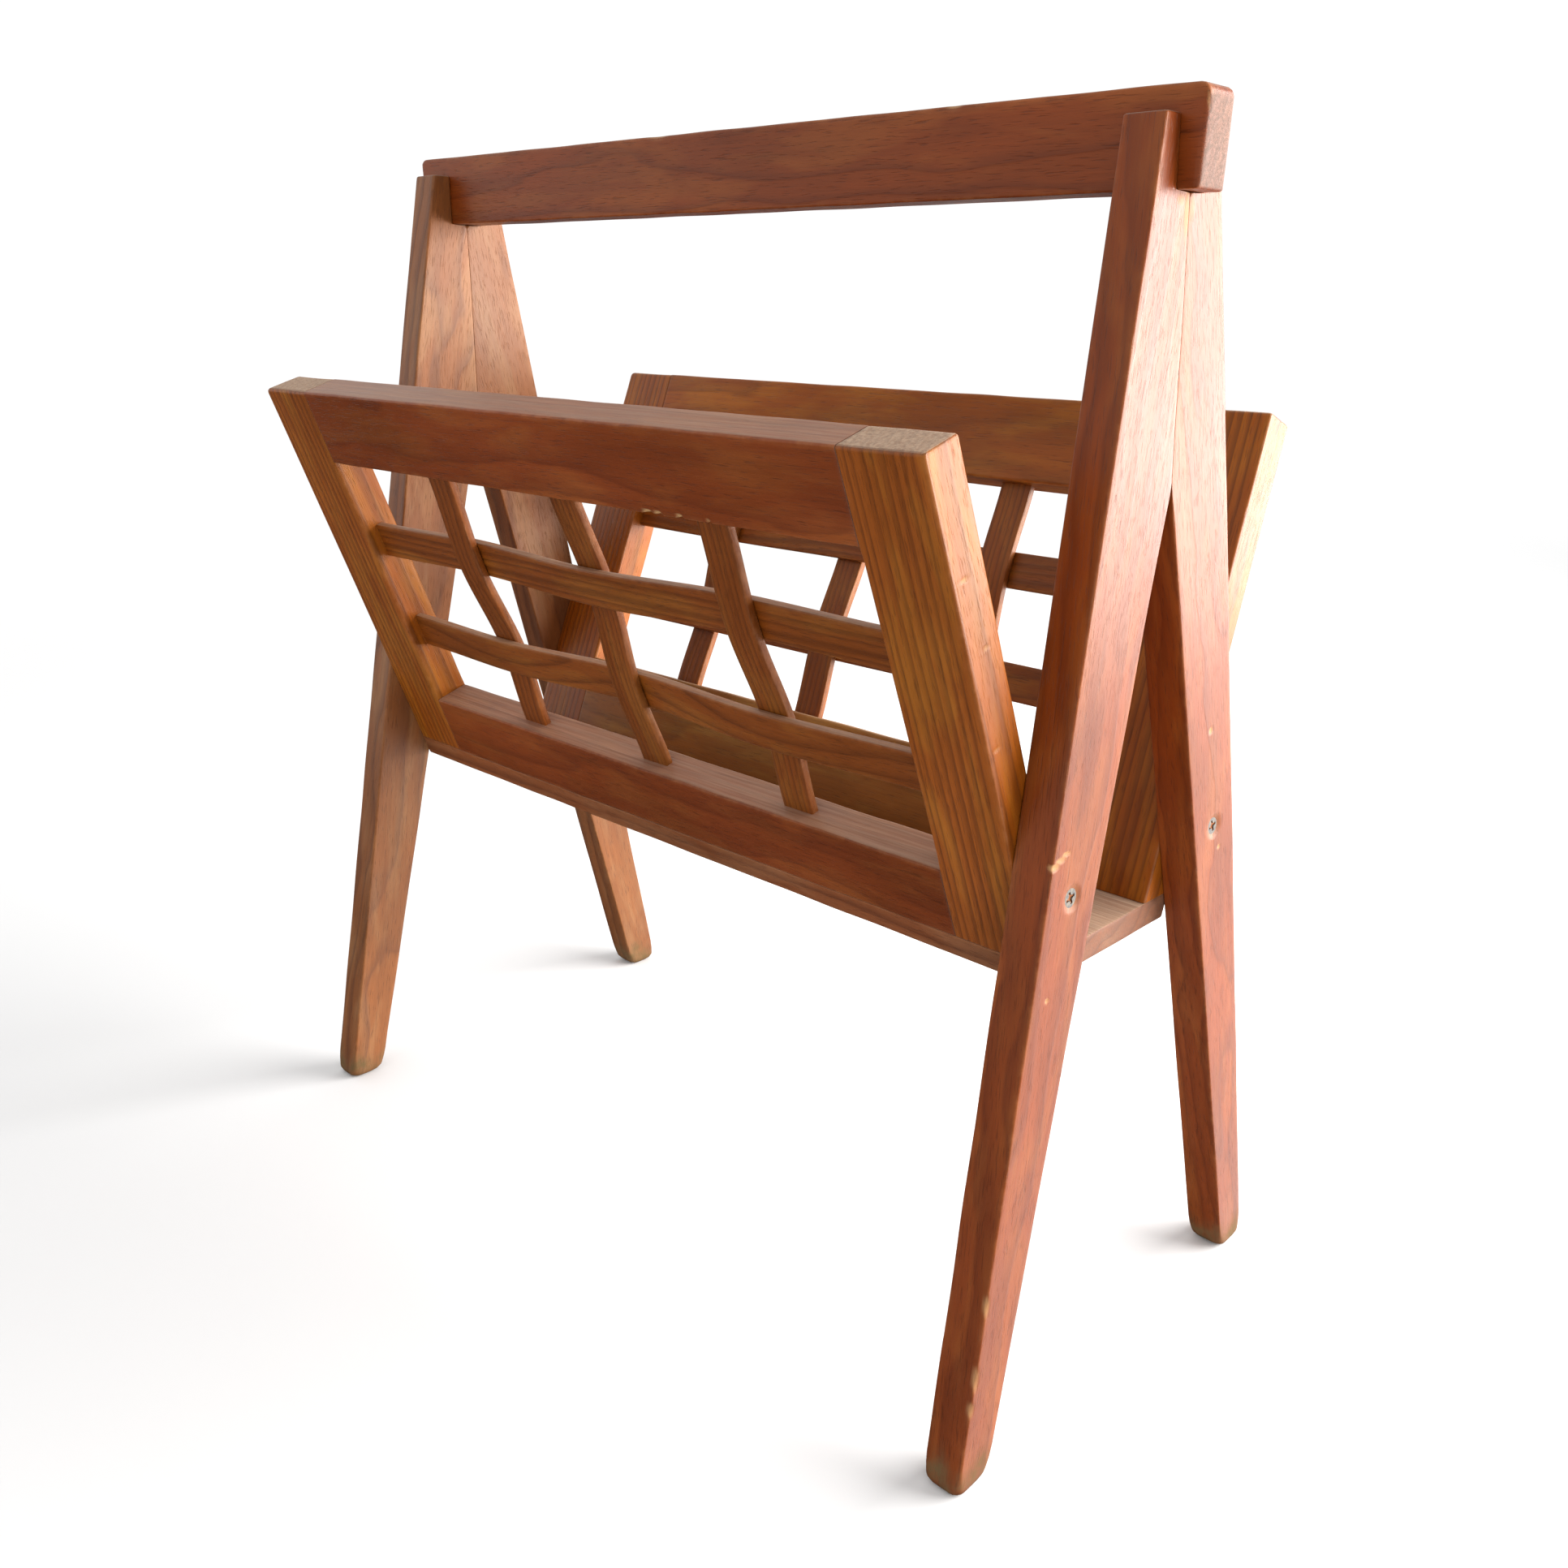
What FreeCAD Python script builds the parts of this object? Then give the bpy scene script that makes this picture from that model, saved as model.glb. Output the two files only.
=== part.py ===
import FreeCAD, Part
import os
import re
import Sketcher

# Carrying rack for magazines: two A-frames of tapered legs joined by a handle board on edge.
# Between them two leaning panels, each a frame with a lattice of woven slats, stand on a floor
# board and make a V-shaped basket. One screw through each leg holds the basket.
#
# Frame: origin on the floor under the middle of the rack, +X along the handle, +Z up.
# The front panel is on the -Y side and the rear panel on the +Y side. Units are millimetres.

# ---------------------------------------------------------------------------- driving sizes

SIZES = {
    # handle
    "rack_height": 480.0,
    "handle_depth": 32.0,
    "handle_board": 16.0,
    "handle_reach_top": 10.0,
    "handle_reach_foot": 8.0,
    "handle_corner": 4.0,
    # legs
    "leg_board": 16.5,
    "horn_drop": 9.0,
    "horn_half": 17.0,
    "crotch_height": 352.0,
    "foot_outside": 103.5,
    "foot_inside": 86.0,
    "foot_round": 5.0,
    "edge_ease": 1.5,
    # basket
    "basket_span": 408.0,
    "panel_board": 17.0,
    "panel_reach": 166.0,
    "front_lean": 19.5,
    "rear_lean": 21.5,
    "screw_height": 215.0,
    "stile_width": 36.0,
    "front_top_rail_width": 35.0,
    "rear_top_rail_width": 39.0,
    "foot_rail_width": 31.0,
    "floor_top": 183.5,
    "floor_board": 10.0,
    # lattice
    "slat_thickness": 3.6,
    "slat_width": 16.5,
    "slat_pitch": 90.0,
    "front_slat_shift": -1.5,
    "rear_slat_shift": -6.0,
    "cross_slat_upper": 88.0,
    "cross_slat_lower": 38.0,
    "weave_gap": 0.2,
    "slat_tenon": 7.0,
    "mortise_gap": 0.2,
    # joints
    "dowel_size": 6.0,
    "dowel_length": 28.0,
    "dowel_gap": 0.1,
    "rail_dowel_pitch": 14.0,
    "seam_dowel_length": 22.0,
    "seam_dowel_pitch": 46.0,
    "seam_dowel_drop": 28.0,
    "handle_dowel_size": 8.0,
    "handle_dowel_length": 40.0,
    # fasteners
    "screw_shank": 4.2,
    "screw_head": 8.2,
    "screw_head_depth": 2.7,
    "screw_length": 32.0,
    "screw_point": 6.0,
    "screw_recess": 4.6,
    "screw_recess_slot": 1.1,
    "screw_recess_depth": 1.8,
    "screw_gap": 0.1,
    "pin_size": 2.0,
    "pin_head": 4.0,
    "pin_head_depth": 1.2,
    "pin_length": 24.0,
    "pin_pitch": 120.0,
    "pin_inset": 10.0,
    "pin_gap": 0.05,
}

# Heights and places that several pieces share, written with the sizes above.
NOTCH = "(rack_height - handle_depth)"
HORN = "(rack_height - horn_drop)"
SPAN_HALF = "(basket_span / 2)"
LEG_OUTSIDE = "(basket_span / 2 + leg_board)"
LEG_MIDDLE = "(basket_span / 2 + leg_board / 2)"
OPENING_HALF = "(basket_span / 2 - stile_width)"
OUTER_AT_SCREW = f"(horn_half + (foot_outside - horn_half) * ({HORN} - screw_height) / {HORN})"
INNER_AT_SCREW = "(foot_inside * (crotch_height - screw_height) / crotch_height)"
PIVOT = f"(({OUTER_AT_SCREW} + {INNER_AT_SCREW}) / 2)"
WEAVE = "((slat_thickness + weave_gap) / 2)"

FRONT = -1
REAR = 1
LEFT = -1
RIGHT = 1
SIDE_NAME = {FRONT: "front", REAR: "rear"}
END_NAME = {LEFT: "left", RIGHT: "right"}

document = FreeCAD.newDocument("magazine_rack")
sheet = document.addObject("Spreadsheet::Sheet", "Sizes")
for row, (alias, size) in enumerate(SIZES.items(), start=1):
    sheet.set(f"A{row}", alias)
    sheet.set(f"B{row}", str(size))
    sheet.setAlias(f"B{row}", alias)
document.recompute()

kept = []


# ---------------------------------------------------------------------------- helpers

def bound(text):
    """The expression text with each size's name pointed at its cell in the sheet."""
    return re.sub(r"[a-z_]+", lambda m: "Sizes." + m.group() if m.group() in SIZES else m.group(), text)


def number(text):
    """What an expression of sizes comes to."""
    return float(sheet.evalExpression(bound(text)))


def tie(thing, prop, text):
    """Bind a property to an expression of sizes."""
    thing.setExpression(prop, bound(text))


def keep(thing, label):
    """Give a finished piece the label that names its file."""
    thing.Label = label
    kept.append(thing)
    return thing


def new_body(name):
    return document.addObject("PartDesign::Body", name)


def new_sketch(body, name, role, offset="0", lift="0"):
    """An empty sketch on one of the body's origin planes, moved along its normal and upwards."""
    sketch = body.newObject("Sketcher::SketchObject", name)
    plane = next(feature for feature in body.Origin.OriginFeatures if feature.Role == role)
    sketch.AttachmentSupport = [(plane, "")]
    sketch.MapMode = "FlatFace"
    tie(sketch, "AttachmentOffset.Base.z", offset)
    tie(sketch, "AttachmentOffset.Base.y", lift)
    return sketch


def place_point(sketch, geometry, point, across, up):
    """Hold a sketch point at a place given by two expressions."""
    for kind, text in (("DistanceX", across), ("DistanceY", up)):
        index = sketch.addConstraint(Sketcher.Constraint(kind, -1, 1, geometry, point, number(text)))
        tie(sketch, f"Constraints[{index}]", text)


def draw_outline(sketch, corners):
    """A closed outline of straight lines, each corner held by its two expressions."""
    spots = [FreeCAD.Vector(number(across), number(up), 0) for across, up in corners]
    lines = []
    for start, end in zip(spots, spots[1:] + spots[:1]):
        lines.append(sketch.addGeometry(Part.LineSegment(start, end), False))
    for line, (across, up) in zip(lines, corners):
        place_point(sketch, line, 1, across, up)
    for line, following in zip(lines, lines[1:] + lines[:1]):
        sketch.addConstraint(Sketcher.Constraint("Coincident", line, 2, following, 1))
    return sketch


def draw_rectangle(sketch, across, up, width, height):
    """A rectangle about a middle point."""
    left = f"{across} - ({width}) / 2"
    right = f"{across} + ({width}) / 2"
    low = f"{up} - ({height}) / 2"
    high = f"{up} + ({height}) / 2"
    return draw_outline(sketch, [(left, low), (right, low), (right, high), (left, high)])


def draw_circle(sketch, across, up, diameter):
    centre = FreeCAD.Vector(number(across), number(up), 0)
    circle = Part.Circle(centre, FreeCAD.Vector(0, 0, 1), number(diameter) / 2)
    geometry = sketch.addGeometry(circle, False)
    place_point(sketch, geometry, 3, across, up)
    index = sketch.addConstraint(Sketcher.Constraint("Diameter", geometry, number(diameter)))
    tie(sketch, f"Constraints[{index}]", diameter)
    return sketch


def add_pad(body, sketch, length, middle=False):
    """Pad a sketch along its normal, or half each way."""
    pad = body.newObject("PartDesign::Pad", sketch.Name + "_pad")
    pad.Profile = sketch
    pad.Midplane = middle
    tie(pad, "Length", length)
    document.recompute()
    return pad


def add_cut(body, sketch, depth):
    """Pocket a sketch to the same depth on both sides of its plane, and see that it cuts."""
    before = body.Shape.Volume
    pocket = body.newObject("PartDesign::Pocket", sketch.Name + "_cut")
    pocket.Profile = sketch
    pocket.Midplane = True
    tie(pocket, "Length", f"2 * ({depth})")
    document.recompute()
    if body.Shape.Volume > before - 1e-6:
        raise RuntimeError(f"{pocket.Name} cuts nothing")
    return pocket


def add_turned(body, sketch, feature):
    """Revolve a sketch about its own horizontal axis, to add (Revolution) or cut (Groove)."""
    before = body.Shape.Volume if body.Tip else 0.0
    turned = body.newObject(f"PartDesign::{feature}", sketch.Name + "_turned")
    turned.Profile = sketch
    turned.ReferenceAxis = (sketch, ["H_Axis"])
    turned.Angle = 360
    document.recompute()
    if abs(body.Shape.Volume - before) < 1e-6:
        raise RuntimeError(f"{turned.Name} changes nothing")
    return turned


def ease(body, radius, chosen):
    """Fillet the edges of the body's last feature that the test picks."""
    base = body.Tip
    names = [f"Edge{i}" for i, edge in enumerate(base.Shape.Edges, start=1) if chosen(edge)]
    fillet = body.newObject("PartDesign::Fillet", f"{body.Name}_{len(body.Group)}_ease")
    fillet.Base = (base, names)
    tie(fillet, "Radius", radius)
    document.recompute()
    return fillet


def is_straight(edge):
    return edge.Curve.TypeId == "Part::GeomLine"


def compound(name, pieces):
    """Like pieces that share one node."""
    group = document.addObject("Part::Compound", name)
    group.Links = pieces
    return group


def dowel(name, across, deep, up, axis, diameter, length):
    """A plain dowel about a middle point, along X, Y or Z."""
    rod = document.addObject("Part::Cylinder", name)
    turn = {
        "X": FreeCAD.Rotation(FreeCAD.Vector(0, 1, 0), 90),
        "Y": FreeCAD.Rotation(FreeCAD.Vector(1, 0, 0), -90),
        "Z": FreeCAD.Rotation(),
    }[axis]
    rod.Placement = FreeCAD.Placement(FreeCAD.Vector(), turn)
    tie(rod, "Radius", f"{diameter} / 2")
    tie(rod, "Height", length)
    middle = {"X": across, "Y": deep, "Z": up}
    middle[axis] = f"{middle[axis]} - {length} / 2"
    tie(rod, "Placement.Base.x", middle["X"])
    tie(rod, "Placement.Base.y", middle["Y"])
    tie(rod, "Placement.Base.z", middle["Z"])
    return rod


def lean_of(side):
    return "front_lean" if side == FRONT else "rear_lean"


def stand_panel(thing, side):
    """Put a piece drawn about its panel's screw line where the panel leans in the rack.

    In the panel's own frame X is along the rack, Z up the panel and Y through its thickness.
    """
    thing.Placement = FreeCAD.Placement(FreeCAD.Vector(), FreeCAD.Rotation(FreeCAD.Vector(1, 0, 0), 10))
    tie(thing, "Placement.Base.y", f"{side} * {PIVOT}")
    tie(thing, "Placement.Base.z", "screw_height")
    tie(thing, "Placement.Rotation.Angle", f"{-side} * {lean_of(side)}")


def panel_foot(side, through):
    """Height in the panel's frame of the level foot, at a place through the thickness."""
    lean = lean_of(side)
    return f"((floor_top - screw_height + {side} * ({through}) * sin({lean})) / cos({lean}))"


def foot_rail_top(side):
    """Height in the panel's frame of the foot rail's upper edge."""
    return f"({panel_foot(side, f'{side} * panel_board / 2')} + foot_rail_width)"


def top_rail_foot(side):
    """Height in the panel's frame of the top rail's lower edge."""
    return f"(panel_reach - {SIDE_NAME[side]}_top_rail_width)"


# ---------------------------------------------------------------------------- A-frames

def make_leg(side, end):
    """A tapered leg, mitred to its partner on the middle plane, with half of the handle's notch."""
    name = f"leg_{SIDE_NAME[side]}_{END_NAME[end]}"
    body = new_body(name)
    start = f"{SPAN_HALF}" if end == RIGHT else f"-{LEG_OUTSIDE}"
    outline = new_sketch(body, name + "_outline", "YZ_Plane", offset=start)
    draw_outline(outline, [
        ("0", NOTCH),
        ("0", "crotch_height"),
        (f"{side} * foot_inside", "0"),
        (f"{side} * foot_outside", "0"),
        (f"{side} * horn_half", HORN),
        (f"{side} * handle_board / 2", HORN),
        (f"{side} * handle_board / 2", NOTCH),
    ])
    add_pad(body, outline, "leg_board")

    def on_floor(edge):
        return edge.BoundBox.ZMax < 0.01

    def long_edge(edge):
        return is_straight(edge) and edge.BoundBox.ZLength > number("crotch_height - 2 * foot_round")

    ease(body, "foot_round", on_floor)
    ease(body, "edge_ease", long_edge)

    bore = new_sketch(body, name + "_bore", "XZ_Plane", offset=f"{-side} * {PIVOT}", lift="screw_height")
    wide = "(screw_head / 2 + screw_gap)"
    narrow = "(screw_shank / 2 + screw_gap)"
    draw_outline(bore, [
        (f"{end} * {LEG_OUTSIDE}", "0"),
        (f"{end} * {LEG_OUTSIDE}", wide),
        (f"{end} * ({LEG_OUTSIDE} - screw_head_depth)", narrow),
        (f"{end} * {SPAN_HALF}", narrow),
        (f"{end} * {SPAN_HALF}", "0"),
    ])
    add_turned(body, bore, "Groove")

    hole = "(dowel_size + dowel_gap)"
    for step in (0, 1):
        seam = new_sketch(body, f"{name}_seam_{step}", "XZ_Plane")
        height = f"{NOTCH} - seam_dowel_drop - {step} * seam_dowel_pitch"
        draw_circle(seam, f"{end} * {LEG_MIDDLE}", height, hole)
        add_cut(body, seam, "(seam_dowel_length / 2 + dowel_gap)")

    shoulder = new_sketch(body, name + "_shoulder", "XY_Plane", offset=NOTCH)
    draw_circle(shoulder, f"{end} * {LEG_MIDDLE}", "0", "(handle_dowel_size + dowel_gap)")
    add_cut(body, shoulder, "(handle_dowel_length / 2 + dowel_gap)")
    keep(body, name)


def make_handle():
    """The handle board on edge, its ends cut on a slant."""
    body = new_body("handle")
    outline = new_sketch(body, "handle_outline", "XZ_Plane")
    draw_outline(outline, [
        (f"-({LEG_OUTSIDE} + handle_reach_top)", "rack_height"),
        (f"-({LEG_OUTSIDE} + handle_reach_foot)", NOTCH),
        (f"{LEG_OUTSIDE} + handle_reach_foot", NOTCH),
        (f"{LEG_OUTSIDE} + handle_reach_top", "rack_height"),
    ])
    add_pad(body, outline, "handle_board", middle=True)
    top = number("rack_height")

    def top_corner(edge):
        box = edge.BoundBox
        return is_straight(edge) and box.ZMin > top - 0.01 and box.XLength < 0.01

    def top_edge(edge):
        box = edge.BoundBox
        return is_straight(edge) and box.ZMin > top - 0.01 and box.XLength > number("basket_span")

    ease(body, "handle_corner", top_corner)
    ease(body, "edge_ease", top_edge)
    for end in (LEFT, RIGHT):
        socket = new_sketch(body, f"handle_socket_{END_NAME[end]}", "XY_Plane", offset=NOTCH)
        draw_circle(socket, f"{end} * {LEG_MIDDLE}", "0", "(handle_dowel_size + dowel_gap)")
        add_cut(body, socket, "(handle_dowel_length / 2 + dowel_gap)")
    keep(body, "handle")


def make_frame_dowels():
    """Dowels across each mitre seam, and one up into the handle at each end."""
    seams = []
    uprights = []
    for end in (LEFT, RIGHT):
        across = f"{end} * {LEG_MIDDLE}"
        for step in (0, 1):
            height = f"({NOTCH} - seam_dowel_drop - {step} * seam_dowel_pitch)"
            name = f"seam_dowel_{END_NAME[end]}_{step}"
            seams.append(dowel(name, across, "0", height, "Y", "dowel_size", "seam_dowel_length"))
        name = f"upright_dowel_{END_NAME[end]}"
        uprights.append(dowel(name, across, "0", NOTCH, "Z", "handle_dowel_size", "handle_dowel_length"))
    keep(compound("seam_dowel_group", seams), "leg_seam_dowels")
    keep(compound("upright_dowel_group", uprights), "handle_dowels")


# ---------------------------------------------------------------------------- panels

def rail_dowel_heights(side):
    """Heights in the panel's frame of the two dowels in the foot rail and the two in the top rail."""
    foot = f"({foot_rail_top(side)} - foot_rail_width / 2)"
    top = f"(panel_reach - {SIDE_NAME[side]}_top_rail_width / 2)"
    return [f"({middle} + {sign} * rail_dowel_pitch / 2)" for middle in (foot, top) for sign in (-1, 1)]


def member_outline(low_front, low_back, high):
    """Section through a panel's thickness, from its lower edge to its upper edge."""
    half = "panel_board / 2"
    return [(f"-{half}", low_front), (half, low_back), (half, high), (f"-{half}", high)]


def foot_outline(side, high):
    """The same section where the lower edge is planed level to stand on the floor board."""
    half = "panel_board / 2"
    return member_outline(panel_foot(side, f"-{half}"), panel_foot(side, half), high)


def make_stile(side, end):
    name = f"{SIDE_NAME[side]}_stile_{END_NAME[end]}"
    body = new_body(name)
    start = OPENING_HALF if end == RIGHT else f"-{SPAN_HALF}"
    outline = new_sketch(body, name + "_outline", "YZ_Plane", offset=start)
    draw_outline(outline, foot_outline(side, "panel_reach"))
    add_pad(body, outline, "stile_width")

    def outside_edge(edge):
        return is_straight(edge) and abs(edge.BoundBox.XMin - end * number(SPAN_HALF)) < 0.01

    ease(body, "edge_ease", lambda edge: outside_edge(edge) and edge.Length > number("panel_reach"))

    bore = new_sketch(body, name + "_bore", "XZ_Plane")
    radius = "(screw_shank / 2 + screw_gap)"
    tip = f"{end} * ({LEG_OUTSIDE} - screw_length - screw_gap)"
    face = f"{end} * {SPAN_HALF}"
    draw_outline(bore, [(face, "0"), (face, radius), (tip, radius), (tip, "0")])
    add_turned(body, bore, "Groove")

    joint = f"{end} * {OPENING_HALF}"
    for index, height in enumerate(rail_dowel_heights(side)):
        hole = new_sketch(body, f"{name}_dowel_{index}", "YZ_Plane", offset=joint)
        draw_circle(hole, "0", height, "(dowel_size + dowel_gap)")
        add_cut(body, hole, "(dowel_length / 2 + dowel_gap)")
    for index, height in enumerate(("cross_slat_lower", "cross_slat_upper")):
        slot = new_sketch(body, f"{name}_mortise_{index}", "YZ_Plane", offset=joint)
        thick = "slat_thickness + 2 * mortise_gap"
        draw_rectangle(slot, "0", height, thick, "slat_width + 2 * mortise_gap")
        add_cut(body, slot, "(slat_tenon + mortise_gap)")
    stand_panel(body, side)
    keep(body, name)


def slat_across(side, column):
    """Where an upright slat's middle is along the rack: column -1, 0 or 1."""
    return f"({SIDE_NAME[side]}_slat_shift + {column} * slat_pitch)"


def cut_rail_joints(body, side, heights, slot_height):
    """Dowel holes in both ends of a rail, and the mortises of the three upright slats."""
    for index, height in enumerate(heights):
        for end in (LEFT, RIGHT):
            name = f"{body.Name}_dowel_{index}_{END_NAME[end]}"
            hole = new_sketch(body, name, "YZ_Plane", offset=f"{end} * {OPENING_HALF}")
            draw_circle(hole, "0", height, "(dowel_size + dowel_gap)")
            add_cut(body, hole, "(dowel_length / 2 + dowel_gap)")
    for column in (-1, 0, 1):
        slot = new_sketch(body, f"{body.Name}_mortise_{column + 1}", "XY_Plane", offset=slot_height)
        wide = "slat_width + 2 * mortise_gap"
        draw_rectangle(slot, slat_across(side, column), "0", wide, "slat_thickness + 2 * mortise_gap")
        add_cut(body, slot, "(slat_tenon + mortise_gap)")


def make_top_rail(side):
    name = f"{SIDE_NAME[side]}_top_rail"
    body = new_body(name)
    low = top_rail_foot(side)
    outline = new_sketch(body, name + "_outline", "YZ_Plane")
    draw_outline(outline, member_outline(low, low, "panel_reach"))
    add_pad(body, outline, f"2 * {OPENING_HALF}", middle=True)
    cut_rail_joints(body, side, rail_dowel_heights(side)[2:], low)
    stand_panel(body, side)
    keep(body, name)


def pin_place(side):
    """Where the floor pins of one side stand, across the rack, inside the panel's outer face."""
    lean = lean_of(side)
    outer_foot = f"({PIVOT} + panel_board / 2 / cos({lean}) - (screw_height - floor_top) * tan({lean}))"
    return f"({side} * ({outer_foot} - pin_inset))"


def make_foot_rail(side):
    name = f"{SIDE_NAME[side]}_foot_rail"
    body = new_body(name)
    high = foot_rail_top(side)
    outline = new_sketch(body, name + "_outline", "YZ_Plane")
    draw_outline(outline, foot_outline(side, high))
    add_pad(body, outline, f"2 * {OPENING_HALF}", middle=True)
    cut_rail_joints(body, side, rail_dowel_heights(side)[:2], high)

    # The pins stand upright in the rack, so their sketch lies level, turned back by the lean.
    lean = lean_of(side)
    over = f"({pin_place(side)} - {side} * {PIVOT})"
    down = "(floor_top - screw_height)"
    holes = new_sketch(body, name + "_pin_holes", "XY_Plane")
    holes.AttachmentOffset = FreeCAD.Placement(
        FreeCAD.Vector(), FreeCAD.Rotation(FreeCAD.Vector(1, 0, 0), 10))
    tie(holes, "AttachmentOffset.Rotation.Angle", f"{side} * {lean}")
    tie(holes, "AttachmentOffset.Base.y", f"{over} * cos({lean}) - {side} * {down} * sin({lean})")
    tie(holes, "AttachmentOffset.Base.z", f"{side} * {over} * sin({lean}) + {down} * cos({lean})")
    for column in (-1, 0, 1):
        draw_circle(holes, f"{column} * pin_pitch", "0", "(pin_size + 2 * pin_gap)")
    add_cut(body, holes, "(pin_length - floor_board + pin_gap)")
    stand_panel(body, side)
    keep(body, name)


def make_panel_dowels(side):
    rods = []
    for end in (LEFT, RIGHT):
        for index, height in enumerate(rail_dowel_heights(side)):
            name = f"{SIDE_NAME[side]}_rail_dowel_{END_NAME[end]}_{index}"
            across = f"{end} * {OPENING_HALF}"
            rods.append(dowel(name, across, "0", height, "X", "dowel_size", "dowel_length"))
    group = compound(f"{SIDE_NAME[side]}_rail_dowel_group", rods)
    stand_panel(group, side)
    keep(group, f"{SIDE_NAME[side]}_rail_dowels")


# ---------------------------------------------------------------------------- lattice

def strip_face(stations, bend):
    """A bent strip seen edge on: straight tenons at the ends and a smooth wave between them.

    stations are (place along, offset) pairs from shoulder to shoulder, and bend turns a place
    along and an offset into a point.
    """
    half = number("slat_thickness") / 2
    tenon = number("slat_tenon")
    first = stations[0][0]
    last = stations[-1][0]
    edges = []
    corners = []
    for shift in (-half, half):
        wave = Part.BSplineCurve()
        points = [bend(along, offset + shift) for along, offset in stations]
        heading = bend(1, 0) - bend(0, 0)
        wave.interpolate(Points=points, InitialTangent=heading, FinalTangent=heading)
        edges.append(wave.toShape())
        for tip, shoulder in ((first - tenon, first), (last, last + tenon)):
            edges.append(Part.makeLine(bend(tip, shift), bend(shoulder, shift)))
        corners.append((bend(first - tenon, shift), bend(last + tenon, shift)))
    for low, high in zip(*corners):
        edges.append(Part.makeLine(low, high))
    return Part.Face(Part.Wire(Part.__sortEdges__(edges)))


def woven_stations(first, crossings, last):
    """Stations of a slat that runs level over the whole width of each slat it crosses."""
    half = number("slat_width") / 2
    weave = number(WEAVE)
    stations = [(first, 0.0)]
    for along, way in crossings:
        stations.append((along - half, way * weave))
        stations.append((along + half, way * weave))
    stations.append((last, 0.0))
    return stations


def over_under(column, row):
    """Which side of a crossing the upright slat takes: -1 in front, 1 behind."""
    return -1 if (column + row) % 2 == 0 else 1


def cross_heights():
    return [number("cross_slat_lower"), number("cross_slat_upper")]


def make_upright_slat(side, column, name):
    """An upright slat, in front of one cross slat and behind the other."""
    crossings = [(height, over_under(column, row)) for row, height in enumerate(cross_heights())]
    stations = woven_stations(number(foot_rail_top(side)), crossings, number(top_rail_foot(side)))
    across = number(slat_across(side, column)) - number("slat_width") / 2
    face = strip_face(stations, lambda along, offset: FreeCAD.Vector(across, offset, along))
    slat = document.addObject("Part::Feature", name)
    slat.Shape = face.extrude(FreeCAD.Vector(number("slat_width"), 0, 0))
    stand_panel(slat, side)
    keep(slat, name)


def make_cross_slat(side, row, name):
    """A cross slat from stile to stile, woven through the three upright slats."""
    opening = number(OPENING_HALF)
    columns = (-1, 0, 1)
    crossings = [(number(slat_across(side, column)), -over_under(column, row)) for column in columns]
    stations = woven_stations(-opening, crossings, opening)
    low = cross_heights()[row] - number("slat_width") / 2
    face = strip_face(stations, lambda along, offset: FreeCAD.Vector(along, offset, low))
    slat = document.addObject("Part::Feature", name)
    slat.Shape = face.extrude(FreeCAD.Vector(0, 0, number("slat_width")))
    stand_panel(slat, side)
    keep(slat, name)


def make_lattice(side):
    for column, place in ((-1, "left"), (0, "middle"), (1, "right")):
        make_upright_slat(side, column, f"{SIDE_NAME[side]}_upright_slat_{place}")
    for row, place in ((0, "lower"), (1, "upper")):
        make_cross_slat(side, row, f"{SIDE_NAME[side]}_cross_slat_{place}")


# ---------------------------------------------------------------------------- floor and fasteners

def floor_edge(side, drop):
    """The floor board's edge, in line with the panel's outer face, at a depth below the board's top."""
    lean = lean_of(side)
    fall = f"(screw_height - floor_top + {drop})"
    return f"{side} * ({PIVOT} + panel_board / 2 / cos({lean}) - {fall} * tan({lean}))"


def make_floor_board():
    body = new_body("floor_board")
    outline = new_sketch(body, "floor_outline", "YZ_Plane")
    foot = "floor_top - floor_board"
    draw_outline(outline, [
        (floor_edge(FRONT, "0"), "floor_top"),
        (floor_edge(FRONT, "floor_board"), foot),
        (floor_edge(REAR, "floor_board"), foot),
        (floor_edge(REAR, "0"), "floor_top"),
    ])
    add_pad(body, outline, "basket_span", middle=True)
    for side in (FRONT, REAR):
        for column in (-1, 0, 1):
            name = f"floor_bore_{SIDE_NAME[side]}_{column + 1}"
            bore = new_sketch(body, name, "XZ_Plane", offset=f"-{pin_place(side)}")
            bore.AttachmentOffset = FreeCAD.Placement(
                FreeCAD.Vector(), FreeCAD.Rotation(FreeCAD.Vector(0, 0, 1), 90))
            tie(bore, "AttachmentOffset.Base.x", f"{column} * pin_pitch")
            tie(bore, "AttachmentOffset.Base.y", foot)
            tie(bore, "AttachmentOffset.Base.z", f"-{pin_place(side)}")
            narrow = "(pin_size / 2 + pin_gap)"
            draw_outline(bore, [
                ("0", "0"),
                ("0", "(pin_head / 2 + pin_gap)"),
                ("pin_head_depth", narrow),
                ("floor_board", narrow),
                ("floor_board", "0"),
            ])
            add_turned(body, bore, "Groove")
    keep(body, "floor_board")


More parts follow.
